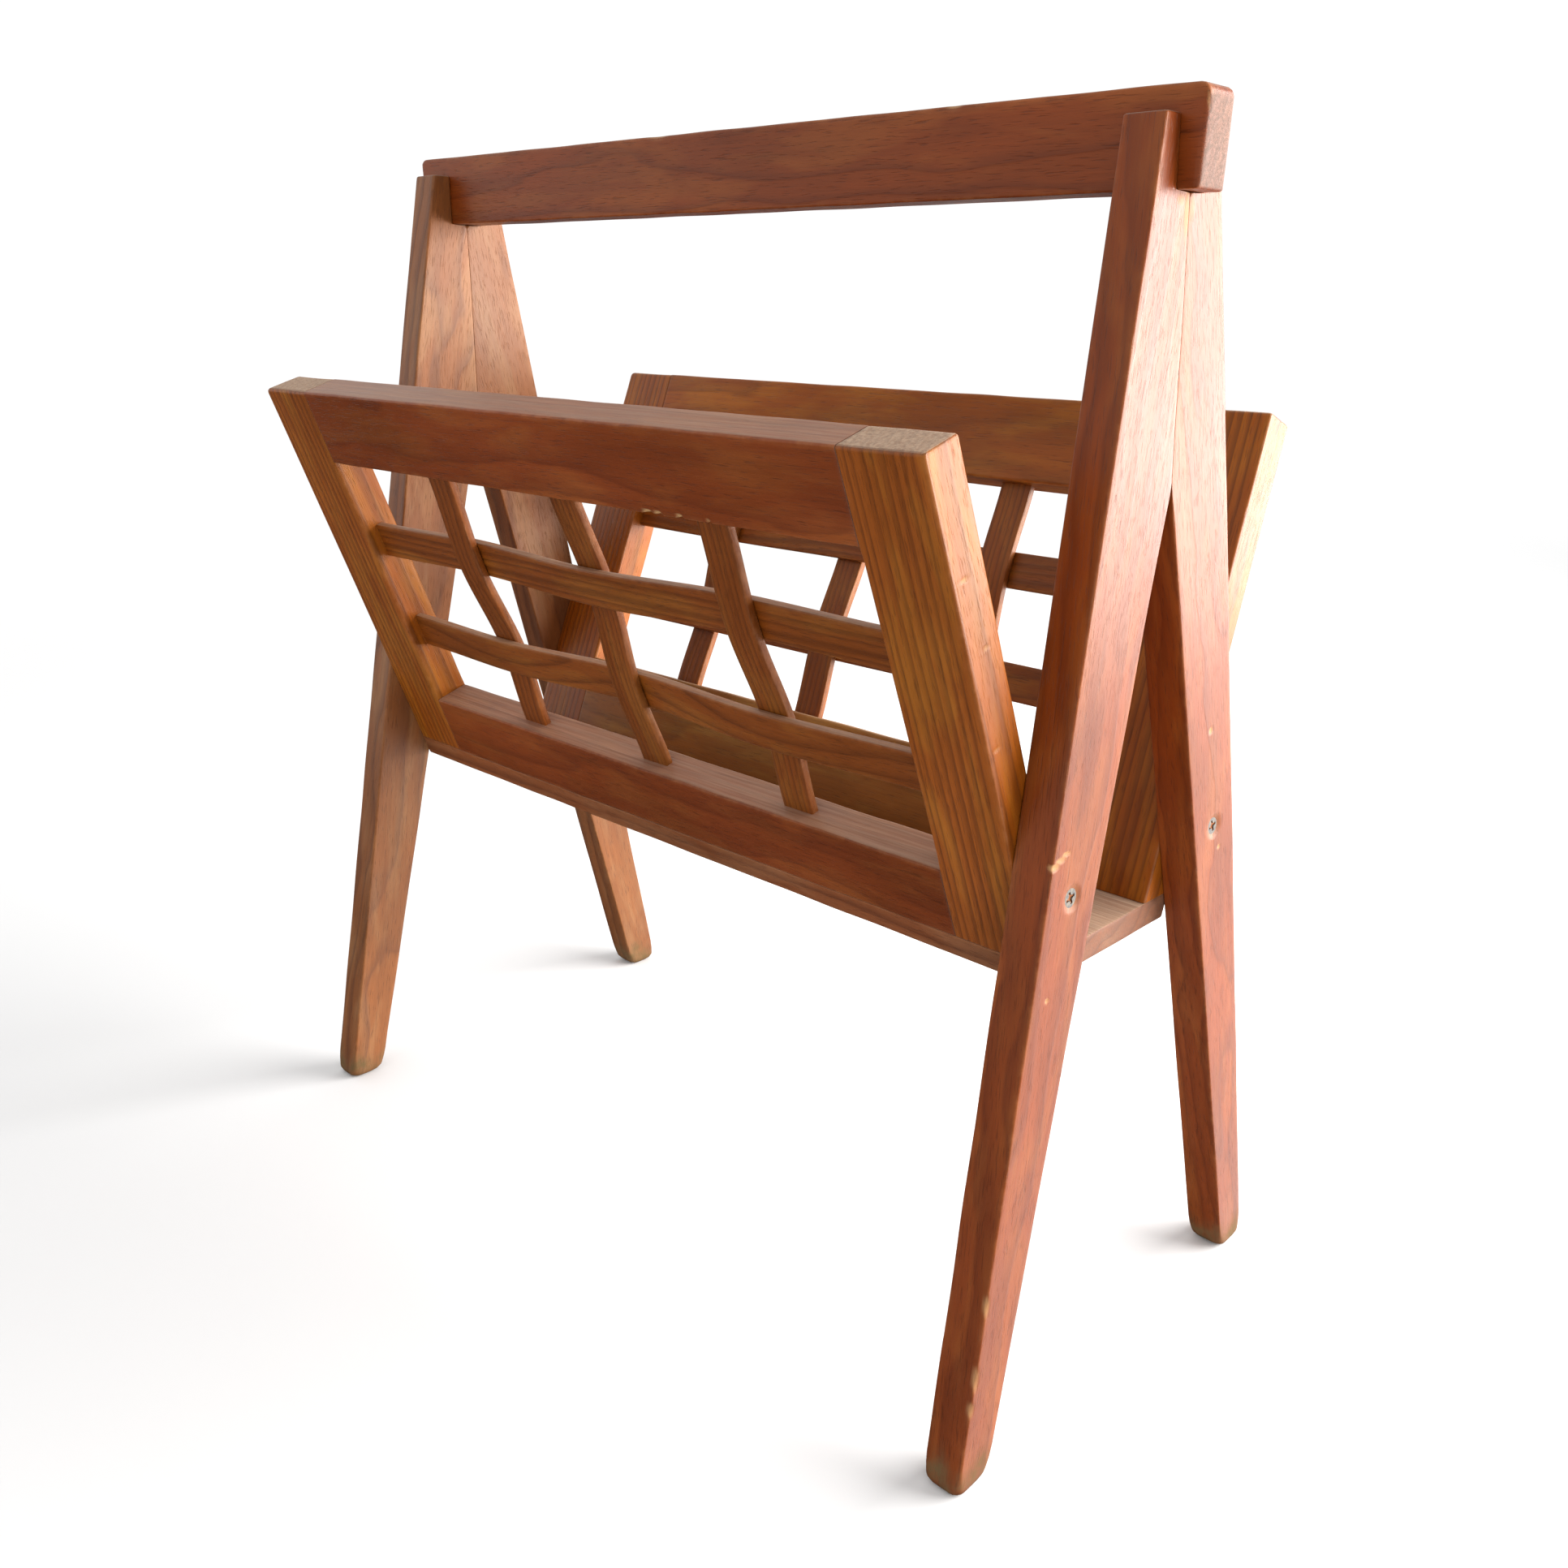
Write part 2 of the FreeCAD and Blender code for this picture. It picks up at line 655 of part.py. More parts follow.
def make_floor_pins():
    """Countersunk pins up through the floor board into the foot rails."""
    pins = []
    for side in (FRONT, REAR):
        for column in (-1, 0, 1):
            name = f"floor_pin_{SIDE_NAME[side]}_{column + 1}"
            body = new_body(name)
            profile = new_sketch(body, name + "_profile", "XZ_Plane")
            draw_outline(profile, [
                ("0", "0"),
                ("0", "pin_head / 2"),
                ("pin_head_depth", "pin_size / 2"),
                ("pin_length - 2 * pin_size", "pin_size / 2"),
                ("pin_length", "0"),
            ])
            add_turned(body, profile, "Revolution")
            body.Placement = FreeCAD.Placement(
                FreeCAD.Vector(), FreeCAD.Rotation(FreeCAD.Vector(0, 1, 0), -90))
            tie(body, "Placement.Base.x", f"{column} * pin_pitch")
            tie(body, "Placement.Base.y", pin_place(side))
            tie(body, "Placement.Base.z", "floor_top - floor_board")
            pins.append(body)
    keep(compound("floor_pin_group", pins), "floor_pins")


def make_screw(side, end):
    """A countersunk wood screw with a cross recess, its head flush with the leg's outer face."""
    name = f"screw_{SIDE_NAME[side]}_{END_NAME[end]}"
    body = new_body(name)
    profile = new_sketch(body, name + "_profile", "XZ_Plane")
    draw_outline(profile, [
        ("0", "0"),
        ("0", "screw_head / 2"),
        ("screw_head_depth", "screw_shank / 2"),
        ("screw_length - screw_point", "screw_shank / 2"),
        ("screw_length", "0"),
    ])
    add_turned(body, profile, "Revolution")
    for index, (wide, tall) in enumerate((
            ("screw_recess", "screw_recess_slot"), ("screw_recess_slot", "screw_recess"))):
        recess = new_sketch(body, f"{name}_recess_{index}", "YZ_Plane")
        draw_rectangle(recess, "0", "0", wide, tall)
        add_cut(body, recess, "screw_recess_depth")
    turn = FreeCAD.Rotation(FreeCAD.Vector(0, 0, 1), 180 if end == RIGHT else 0)
    body.Placement = FreeCAD.Placement(FreeCAD.Vector(), turn)
    tie(body, "Placement.Base.x", f"{end} * {LEG_OUTSIDE}")
    tie(body, "Placement.Base.y", f"{side} * {PIVOT}")
    tie(body, "Placement.Base.z", "screw_height")
    return body


# ---------------------------------------------------------------------------- build

for leg_end in (LEFT, RIGHT):
    for leg_side in (FRONT, REAR):
        make_leg(leg_side, leg_end)
make_handle()
make_frame_dowels()
for panel_side in (FRONT, REAR):
    for stile_end in (LEFT, RIGHT):
        make_stile(panel_side, stile_end)
    make_top_rail(panel_side)
    make_foot_rail(panel_side)
    make_panel_dowels(panel_side)
    make_lattice(panel_side)
make_floor_board()
make_floor_pins()
screws = [make_screw(side, end) for end in (LEFT, RIGHT) for side in (FRONT, REAR)]
keep(compound("leg_screw_group", screws), "leg_screws")
document.recompute()

# ---------------------------------------------------------------------------- check and write

for thing in document.Objects:
    if "Invalid" in thing.State or "Error" in thing.State:
        raise RuntimeError(f"{thing.Name} failed: {thing.State}")
for thing in kept:
    if thing.Shape.isNull() or not thing.Shape.isValid():
        raise RuntimeError(f"{thing.Label} has no valid shape")

os.makedirs("parts", exist_ok=True)
for thing in kept:
    thing.Shape.exportStep(f"parts/{thing.Label}.step")
    print(thing.Label, len(thing.Shape.Solids), round(thing.Shape.Volume))
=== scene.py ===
import functools
import math

import bmesh
import bpy
import numpy as np
from bpy.props import FloatProperty, FloatVectorProperty, IntProperty, PointerProperty
from mathutils import Euler, Matrix, Vector, noise


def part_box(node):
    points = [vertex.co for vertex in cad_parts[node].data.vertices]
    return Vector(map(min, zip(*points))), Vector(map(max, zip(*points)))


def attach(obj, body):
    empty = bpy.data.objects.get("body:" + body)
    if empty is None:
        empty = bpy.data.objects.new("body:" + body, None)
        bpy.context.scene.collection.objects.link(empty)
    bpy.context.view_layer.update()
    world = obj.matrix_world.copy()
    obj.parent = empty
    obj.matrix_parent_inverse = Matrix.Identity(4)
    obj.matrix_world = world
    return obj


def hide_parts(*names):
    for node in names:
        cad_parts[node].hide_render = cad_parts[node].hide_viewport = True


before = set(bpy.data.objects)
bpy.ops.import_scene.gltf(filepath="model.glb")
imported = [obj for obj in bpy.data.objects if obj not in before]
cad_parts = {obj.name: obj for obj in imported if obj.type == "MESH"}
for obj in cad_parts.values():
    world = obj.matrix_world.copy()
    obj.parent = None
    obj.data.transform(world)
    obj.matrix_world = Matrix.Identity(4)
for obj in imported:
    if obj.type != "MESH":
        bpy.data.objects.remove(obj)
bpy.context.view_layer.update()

bl_info = {
    "name": "Magazine rack",
    "version": (1, 0, 0),
    "blender": (4, 5, 0),
    "location": "3D View > Sidebar > Rack",
    "description": "Builds a wooden magazine rack round its packed CAD frame",
    "category": "Add Mesh",
}

MM = 0.001
ROOT = "root"
CORNERS = ((1, 1), (-1, 1), (-1, -1), (1, -1))  # the four long edges of a board, in ring order
ARC_STEPS = 4  # faces across one rounded edge
GUARD = 1.5  # mm from a rounded edge to the first line on the flat beside it
SEAM = 0.05  # mm left between two boards glued edge to edge
AMBER = (1.2, 1.55, 2.1)  # how much paler the heartwood's patches are in red, green and blue


def linear(code):
    """A hex colour as linear red, green and blue."""
    channels = [int(code[place:place + 2], 16) / 255 for place in (1, 3, 5)]
    return tuple(c / 12.92 if c <= 0.04045 else ((c + 0.055) / 1.055) ** 2.4 for c in channels)


@functools.cache
def corners_of(node):
    """A CAD node's lowest and highest corners in millimetres."""
    low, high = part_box(node)
    return low / MM, high / MM


def middle_of(node):
    """The middle of a CAD node's box in millimetres."""
    low, high = corners_of(node)
    return (low + high) / 2


# ---------------------------------------------------------------- sizes and colours

SCREWS_LOW, SCREWS_HIGH = corners_of("leg_screws")
BOARD_LOW, BOARD_HIGH = corners_of("floor_board")
HANDLE_LOW, HANDLE_HIGH = corners_of("handle")
LEG_HIGH = corners_of("leg_front_right")[1]


def length_of(name, description, size):
    """A length that is set in the sidebar, given in millimetres."""
    return FloatProperty(name=name, description=description, default=size * MM, unit="LENGTH")


def angle_of(name, description, degrees):
    """An angle that is set in the sidebar."""
    return FloatProperty(name=name, description=description, default=math.radians(degrees),
                         subtype="ANGLE")


def colour_of(name, description, code):
    """A colour that is set in the sidebar."""
    return FloatVectorProperty(name=name, description=description, default=linear(code),
                               subtype="COLOR")


class RackSizes(bpy.types.PropertyGroup):
    """The sizes that a maker would change."""

    front_lean: angle_of("Front lean", "How far the front panel leans out from upright", 19.5)
    rear_lean: angle_of("Rear lean", "How far the rear panel leans out from upright", 21.5)
    panel_board: length_of("Panel board", "Thickness of the panels' stiles and rails", 17)
    front_top_rail: length_of("Front top rail", "Width of the front panel's top rail", 35)
    rear_top_rail: length_of("Rear top rail", "Width of the rear panel's top rail", 39)
    slat_width: length_of("Slat width", "Width of a woven slat", 16.5)
    slat_thickness: length_of("Slat thickness", "Thickness of a woven slat", 3.6)
    edge_round: length_of("Edge rounding", "Radius that sanding and use left on an edge", 0.8)
    foot_round: length_of("Foot rounding", "Radius at the legs' feet", 5)
    unevenness: length_of("Unevenness", "How far a hand-finished face strays from flat", 0.1)
    screw_head: length_of("Screw head", "Diameter of a leg screw's head", 8.2)
    pin_head: length_of("Pin head", "Diameter of a floor pin's head", 4)
    slats_up: IntProperty(name="Uprights", description="Upright slats in a panel", default=3)
    slats_across: IntProperty(name="Cross slats", description="Cross slats in a panel", default=2)


class RackColours(bpy.types.PropertyGroup):
    """The colours that a maker would change. Light is early wood and dark is late wood."""

    red_light: colour_of("Red stain, light", "Front rails, handle and right legs", "#76330B")
    red_dark: colour_of("Red stain, dark", "Front rails, handle and right legs", "#531F07")
    brown_light: colour_of("Brown stain, light", "Stiles and rear top rail", "#8A460A")
    brown_dark: colour_of("Brown stain, dark", "Stiles and rear top rail", "#5C2C07")
    honey_light: colour_of("Honey stain, light", "Left legs", "#794723")
    honey_dark: colour_of("Honey stain, dark", "Left legs", "#5D341B")
    olive_light: colour_of("Olive stain, light", "Rear foot rail", "#88521B")
    olive_dark: colour_of("Olive stain, dark", "Rear foot rail", "#643A12")
    slat_light: colour_of("Slat stain, light", "Woven slats", "#763A0B")
    slat_dark: colour_of("Slat stain, dark", "Woven slats", "#502506")
    dusty_light: colour_of("Dusty board, light", "Floor board", "#7A4322")
    dusty_dark: colour_of("Dusty board, dark", "Floor board", "#562A14")
    bare: colour_of("Bare wood", "Where a chip or dent has broken the varnish", "#B28C5E")
    worn: colour_of("Worn edge", "Where handling has thinned the varnish", "#C08250")
    end_wood: colour_of("End grain", "Dusty grey of the sawn ends", "#604E44")
    dust: colour_of("Settled dust", "House dust on the faces that look up", "#C0A58C")
    # painted shade: the darker, greyer colour the feet take near the floor, where the light falls
    # off
    grime: colour_of("Floor grime", "Grey that mopping left on the feet", "#5E4A2C")
    steel: colour_of("Screw steel", "Zinc plated steel", "#5E5C5A")
    # the floor's colour near the rack: painted shade, greyer than further out to even out the
    # lamps' strong light there
    floor: colour_of("Studio floor", "Matt white paint", "#E0E0E0")


def linked(name, data):
    """A new object, put in the scene."""
    made = bpy.data.objects.new(name, data)
    bpy.context.scene.collection.objects.link(made)
    return made


def sizes():
    return bpy.context.scene.rack_sizes


def colours():
    return bpy.context.scene.rack_colours


# ---------------------------------------------------------------- nodes and materials


def add(tree, kind, inputs=None, **settings):
    """Adds one node with its settings, and sets or links its inputs by name or number."""
    made = tree.nodes.new(kind)
    for key, value in settings.items():
        setattr(made, key, value)
    for key, value in (inputs or {}).items():
        socket = made.inputs[key]
        if isinstance(value, bpy.types.NodeSocket):
            tree.links.new(value, socket)
        else:
            socket.default_value = value
    return made


def host(*values):
    """The node tree of the first socket among some values."""
    return next(value.id_data for value in values if isinstance(value, bpy.types.NodeSocket))


def maths(operation, *values, clamp=False):
    """One sum on up to three numbers."""
    return add(host(*values), "ShaderNodeMath", dict(enumerate(values)), operation=operation,
               use_clamp=clamp).outputs["Value"]


def stretched(vector, shares):
    """A vector with each of its parts multiplied."""
    return add(host(vector), "ShaderNodeVectorMath", {0: vector, 1: shares},
               operation="MULTIPLY").outputs["Vector"]


def brightened(colour, share):
    return add(host(colour), "ShaderNodeVectorMath", {0: colour, "Scale": share},
               operation="SCALE").outputs["Vector"]


def speckled(place, scale, detail, roughness=0.5, output="Fac", **inputs):
    """Noise, coarser for a smaller scale."""
    return add(host(place), "ShaderNodeTexNoise",
               {"Vector": place, "Scale": scale, "Detail": detail, "Roughness": roughness,
                **inputs}).outputs[output]


def scaled(value, low, high, to_low, to_high, smooth=False):
    """A value moved from one range to another and held there."""
    return add(host(value), "ShaderNodeMapRange",
               {"Value": value, "From Min": low, "From Max": high, "To Min": to_low,
                "To Max": to_high},
               interpolation_type="SMOOTHSTEP" if smooth else "LINEAR").outputs["Result"]


def mixed(share, one, other):
    """Two colours mixed, each a socket or red, green and blue."""
    one, other = (colour if isinstance(colour, bpy.types.NodeSocket) else (*colour, 1)
                  for colour in (one, other))
    return add(host(share), "ShaderNodeMix", {0: share, 6: one, 7: other}, data_type="RGBA"
               ).outputs[2]


def painted_on(tree, name):
    """How far a point carries a mark that its mesh stores."""
    return add(tree, "ShaderNodeAttribute", attribute_name=name).outputs["Fac"]


def relief(height, strength, depth):
    return add(host(height), "ShaderNodeBump",
               {"Height": height, "Strength": strength, "Distance": depth}).outputs["Normal"]


def new_tree(name):
    """An empty material, its nodes and the place of a point on its object."""
    material = bpy.data.materials.new(name)
    material.use_nodes = True
    tree = material.node_tree
    tree.nodes.clear()
    return material, tree, add(tree, "ShaderNodeTexCoord").outputs["Object"]


def surfaced(tree, inputs):
    shader = add(tree, "ShaderNodeBsdfPrincipled", inputs)
    add(tree, "ShaderNodeOutputMaterial", {"Surface": shader.outputs["BSDF"]})


def growth_rings(board, ring, figure, run):
    """Where late wood shows: rings about the pith line, bent by slow noise."""
    tree = host(board)
    wander = speckled(stretched(board, (1, 1, run)), 38.0, 2.5, output="Color")
    sway = figure * 2.4 * MM
    bent = add(tree, "ShaderNodeVectorMath", {0: wander, 1: (sway, sway, 0), 2: board},
               operation="MULTIPLY_ADD").outputs["Vector"]
    flat = stretched(bent, (1, 1, 0))
    radius = add(tree, "ShaderNodeVectorMath", {0: flat}, operation="LENGTH").outputs["Value"]
    years = maths("MULTIPLY", radius, 1 / (ring * MM))
    season = add(tree, "ShaderNodeTexNoise", {"W": years, "Scale": 0.9, "Detail": 1.0},
                 noise_dimensions="1D").outputs["Fac"]
    part = maths("FRACT", maths("MULTIPLY_ADD", season, 0.7, years))
    made = add(tree, "ShaderNodeValToRGB", {"Fac": part})
    stops = ((0.0, 0.25), (0.12, 0.05), (0.45, 0.2), (0.8, 0.8), (0.9, 1.0), (1.0, 0.25))
    strip = made.color_ramp
    while len(strip.elements) < len(stops):
        strip.elements.new(0.5)
    for element, (place, level) in zip(strip.elements, stops):
        element.position = place
        element.color = (level, level, level, 1)
    return made.outputs["Color"]


def varnished_wood(name, stain, turn, middle, pith, ring, seed, figure=2.2, run=0.07,
                   contrast=1.0, dusty_ends=0.9, dusty_top=0.4):
    """Stained and satin varnished hardwood, planed and hand sanded.

    Rings are cylinders about a pith line along the board, so faces show stripes or flames and
    sawn ends show arcs. turn brings the board's length onto Z, middle is the board's own
    middle, pith is where the pith passes beside it, ring is one year's growth, figure is how
    far the rings wander, all in mm, and run is how short that wandering is. dusty_ends and
    dusty_top say how grey sawn ends and level upper faces have gone.
    """
    material, tree, place = new_tree(name)
    tint = colours()
    light, dark = (tuple(getattr(tint, f"{stain}_{part}")) for part in ("light", "dark"))
    centre = Euler(turn).to_matrix() @ Vector(middle)
    shift = ((pith[0] - centre.x) * MM, (pith[1] - centre.y) * MM, seed * 0.731)
    board = add(tree, "ShaderNodeMapping",
                {"Vector": place, "Rotation": turn, "Location": shift}).outputs["Vector"]
    late = growth_rings(board, ring, figure, run)
    # fibre bundles about 1.2 mm across and 50 mm long
    fibre = speckled(stretched(board, (1, 1, 0.022)), 820.0, 3.0, 0.62)
    # open pores, drawn 0.4 mm wide and 6 mm long
    pore = scaled(speckled(stretched(board, (1, 1, 0.06)), 2100.0, 1.0), 0.60, 0.70, 0.0, 1.0)
    # clouds of thicker and thinner stain, 40 to 90 mm across
    cloud = speckled(stretched(board, (1, 1, 0.35)), 22.0, 3.0, 0.55)
    weight = scaled(cloud, 0.3, 0.7, 0.55 * contrast, 1.0 * contrast)
    colour = mixed(maths("MULTIPLY", late, weight, clamp=True), light, dark)
    colour = brightened(colour, scaled(fibre, 0.32, 0.68, 0.93, 1.07))
    colour = brightened(colour, scaled(cloud, 0.3, 0.72, 0.78, 1.24))
    # amber patches, where the heartwood takes less stain
    amber = speckled(stretched(board, (1, 1, 0.22)), 75.0, 3.0, 0.6, Distortion=0.4)
    amber = scaled(amber, 0.42, 0.68, 0.0, 1.0, smooth=True)
    colour = mixed(amber, colour, stretched(colour, AMBER))
    colour = mixed(maths("MULTIPLY", pore, 0.35), colour, [0.35 * part for part in dark])
    # thin varnish on the arrises, in patches
    patch = speckled(board, 140.0, 4.0, 0.65)
    edge = maths("MULTIPLY", painted_on(tree, "edge_wear"), scaled(patch, 0.42, 0.7, 0.02, 0.2))
    colour = mixed(edge, colour, tint.worn)
    # sawn ends: open tubes hold dust, so they are greyer, darker in streaks and dull
    tube = scaled(speckled(board, 900.0, 2.0), 0.35, 0.65, dusty_ends * 0.6, dusty_ends)
    dusty = maths("MULTIPLY", painted_on(tree, "end_grain"), tube)
    colour = mixed(dusty, colour, tint.end_wood)
    # painted shade round the feet: darker and greyer towards the floor, in patches, where the light
    # falls off
    shaded_share = maths("MULTIPLY", painted_on(tree, "grime"), scaled(patch, 0.35, 0.62, 0.25, 0.95))
    colour = mixed(shaded_share, colour, tint.grime)
    # dust that has settled on faces that look up
    facing = add(tree, "ShaderNodeNewGeometry").outputs["True Normal"]
    upward = add(tree, "ShaderNodeVectorMath", {0: facing, 1: (0, 0, 1)},
                 operation="DOT_PRODUCT").outputs["Value"]
    settled = maths("MULTIPLY", scaled(upward, 0.72, 0.97, 0.0, 1.0),
                    scaled(fibre, 0.3, 0.7, dusty_top * 0.45, dusty_top * 1.1))
    colour = mixed(settled, colour, tint.dust)
    # dents and chips, down to the wood
    torn = painted_on(tree, "bare_wood")
    colour = mixed(torn, colour, tint.bare)
    dull = maths("ADD", maths("ADD", dusty, shaded_share), settled)
    dull = maths("ADD", dull, torn, clamp=True)
    sheen = scaled(cloud, 0.3, 0.7, 0.32, 0.44)
    rough = add(tree, "ShaderNodeMix", {0: dull, 2: sheen, 3: 0.78}).outputs[0]
    # grain telegraphs through the film: late wood stands up, pores and fibres sink
    height = maths("MULTIPLY_ADD", fibre, 0.9, late)
    height = maths("MULTIPLY_ADD", pore, -1.1, height)
    surfaced(tree, {"Base Color": colour, "Roughness": rough, "IOR": 1.5,
                    "Normal": relief(height, 0.35, 0.0002),
                    "Specular IOR Level": 0.32, "Specular Tint": (1.0, 0.82, 0.72, 1)})
    return material


def beech_dowel_wood():
    """Turned beech: pale and even, with short dark flecks along the pin, unfinished."""
    material, tree, place = new_tree("turned_beech")
    fleck = speckled(stretched(place, (0.08, 1, 1)), 1300.0, 2.0)
    colour = mixed(scaled(fleck, 0.5, 0.68, 0.0, 1.0), linear("#D9B48C"), linear("#A9794E"))
    surfaced(tree, {"Base Color": colour, "Roughness": 0.7, "Normal": relief(fleck, 0.3, 0.0001)})
    return material


def zinc_plated_steel():
    """Zinc plated steel, barrel finished: bright with a broken, slightly clouded shine."""
    material, tree, place = new_tree("zinc_plated_steel")
    cloud = speckled(place, 650.0, 4.0, 0.7)
    colour = mixed(scaled(cloud, 0.42, 0.66, 0.0, 1.0), colours().steel, linear("#7C7468"))
    surfaced(tree, {"Base Color": colour, "Metallic": 1.0,
                    "Roughness": scaled(cloud, 0.3, 0.7, 0.26, 0.5),
                    "Normal": relief(cloud, 0.35, 0.0001)})
    return material


def matt_floor_paint():
    """Matt white paint, rolled: faint orange-peel texture. Its colour is painted light and shade:
    greyer near the middle, where the lamps are close, and paler further out, so it shows evenly
    white.
    """
    material, tree, place = new_tree("matt_floor_paint")
    away = add(tree, "ShaderNodeVectorMath", {0: place}, operation="LENGTH").outputs["Value"]
    # painted light and shade: grey near the rack where the lamps light it most, near white 3 m out
    # where it is dim
    far = scaled(away, 0.5, 3.0, 0.0, 1.0, smooth=True)
    peel = speckled(place, 400.0, 2.0)
    surfaced(tree, {"Base Color": mixed(far, colours().floor, linear("#FCFCFC")),
                    "Roughness": 0.9, "Specular IOR Level": 0.2,
                    "Normal": relief(peel, 0.05, 0.0002)})
    return material


# ---------------------------------------------------------------- boards


def ease(value):
    """A smooth step from 0 to 1, held outside."""
    value = min(max(value, 0.0), 1.0)
    return value * value * (3 - 2 * value)


def rounded_ring(low_u, high_u, low_v, high_v, radii, cuts):
    """Points round a rectangle with rounded corners, each with its share of edge wear."""
    half = 0.47 * min(high_u - low_u, high_v - low_v)
    held = [min(radius, half) for radius in radii]
    arcs = []
    for number, (side_u, side_v) in enumerate(CORNERS):
        radius = held[number]
        middle_u = high_u - radius if side_u > 0 else low_u + radius
        middle_v = high_v - radius if side_v > 0 else low_v + radius
        arc = []
        for step in range(ARC_STEPS + 1):
            angle = (number + step / ARC_STEPS) * math.pi / 2
            worn = 0.45 + 0.55 * math.sin(math.pi * step / ARC_STEPS)
            arc.append((middle_u + radius * math.cos(angle), middle_v + radius * math.sin(angle),
                        worn))
        arcs.append(arc)
    ring = []
    for number, arc in enumerate(arcs):
        ring.extend(arc)
        first, last = arc[-1], arcs[(number + 1) % 4][0]
        reach = math.hypot(last[0] - first[0], last[1] - first[1])
        guard = min(GUARD / max(reach, 1e-6), 0.2)
        count = cuts[number % 2]
        shares = [guard + (1 - 2 * guard) * step / (count + 1) for step in range(count + 2)]
        for share in shares:
            ring.append((first[0] + (last[0] - first[0]) * share,
                         first[1] + (last[1] - first[1]) * share, 0.0))
    return ring


def end_inset(distance, radius):
    """How far a face turns in, this far from a board's rounded end."""
    if distance >= radius:
        return 0.0
    return radius - math.sqrt(max(radius ** 2 - (radius - distance) ** 2, 0.0))


def along_board(start, finish, step, start_round, finish_round, fine=()):
    """Where the rings of a board stand: close together at its ends and at its marks."""
    marks = {start, finish}
    for end, radius, way in ((start, start_round, 1), (finish, finish_round, -1)):
        for turn in (0.08, 0.25, 0.5, 0.75, 1.0):
            marks.add(end + way * radius * (1 - math.cos(turn * math.pi / 2)))
        marks.add(end + way * (radius + GUARD))
    count = max(2, round((finish - start) / step))
    for number in range(1, count):
        marks.add(start + (finish - start) * number / count)
    for middle, reach, spacing in fine:
        for number in range(-round(reach / spacing), round(reach / spacing) + 1):
            marks.add(middle + number * spacing)
    kept = []
    for mark in sorted(m for m in marks if start <= m <= finish):
        if not kept or mark - kept[-1] > 0.04:
            kept.append(mark)
    kept[-1] = finish
    return kept


def stray(points):
    """The slow unevenness of hand-finished wood, the same for boards that touch."""
    shift = np.zeros_like(points)
    for number, wave in enumerate(((61.0, 83.0, 47.0), (37.0, 29.0, 53.0))):
        phase = points @ (2 * math.pi / np.array(wave)) / 1.7 + number
        for axis in range(3):
            shift[:, axis] += np.sin(phase * (1 + 0.23 * axis) + 1.9 * axis)
    return shift * (sizes().unevenness / MM / 2)


def make_board(name, stations, rect, place, radii, cuts, ends, seed, marks=(), shade_near_floor=None):
    """One board lofted along its length.

    rect(t) gives its cross-section, place(u, v, t) its place in the rack, radii(t) its four edge
    radii, ends the end rounding of its four sides at the start and at the finish, marks its
    dents as (centre, reach, push, bare) and the last argument, a function of a point, how much
    painted shade near the floor that point gets. All in millimetres.
    """
    start, finish = stations[0], stations[-1]
    points, worn, sawn = [], [], []

    def put_ring(t, extra=0.0):
        low_u, high_u, low_v, high_v = rect(t)
        insets = [max(end_inset(t - start, ends[0][side]), end_inset(finish - t, ends[1][side]))
                  + extra for side in range(4)]
        edges = []
        for corner, base in enumerate(radii(t)):
            slow = noise.noise(Vector((t / 24.0, corner * 7.3, seed * 3.1)))
            nick = max(0.0, noise.noise(Vector((t / 6.0, corner * 5.1, seed * 9.7))) - 0.4)
            edges.append(base * (1.0 + 0.2 * slow + 0.5 * nick))
        ring = rounded_ring(low_u + insets[0], high_u - insets[1], low_v + insets[2],
                            high_v - insets[3], edges, cuts)
        away = min(t - start, finish - t)
        for u, v, wear in ring:
            points.append(place(u, v, t))
            worn.append(wear * min(1.0, max(edges) / 1.0))
            sawn.append(max(0.0, 1 - away / 0.4))
        return len(ring)

    size = put_ring(start, GUARD)
    for t in stations:
        put_ring(t)
    put_ring(finish, GUARD)
    rings = len(stations) + 2
    faces = []
    for row in range(rings - 1):
        for column in range(size):
            following = (column + 1) % size
            faces.append((row * size + column, row * size + following,
                          (row + 1) * size + following, (row + 1) * size + column))
    for row in (0, rings - 1):
        first = row * size
        middle = Vector()
        for point in points[first:first + size]:
            middle += point / size
        points.append(middle)
        worn.append(0.0)
        sawn.append(1.0)
        centre = len(points) - 1
        for column in range(size):
            pair = (first + column, first + (column + 1) % size)
            faces.append((pair[1], pair[0], centre) if row == 0 else (*pair, centre))
    moved = np.array([tuple(point) for point in points])
    # how much painted shade near the floor each point gets
    shade_amount = shade_near_floor(moved) if shade_near_floor else np.zeros(len(points))
    moved += stray(moved)
    bare = np.zeros(len(points))
    for centre, reach, push, light in marks:
        away = np.linalg.norm((moved - np.array(centre)) / np.array(reach), axis=1)
        share = np.clip(1 - away ** 2, 0, 1) ** 1.5
        moved += share[:, None] * np.array(push)
        bare = np.maximum(bare, light * np.clip(share * 1.6, 0, 1))
    return finished_mesh(name, moved * MM, faces,
                         {"edge_wear": worn, "end_grain": sawn, "bare_wood": bare, "grime": shade_amount})


def store(mesh, name, values):
    """Keeps one number for each point of a mesh."""
    layer = mesh.attributes.new(name, "FLOAT", "POINT")
    layer.data.foreach_set("value", np.asarray(values, np.float32))


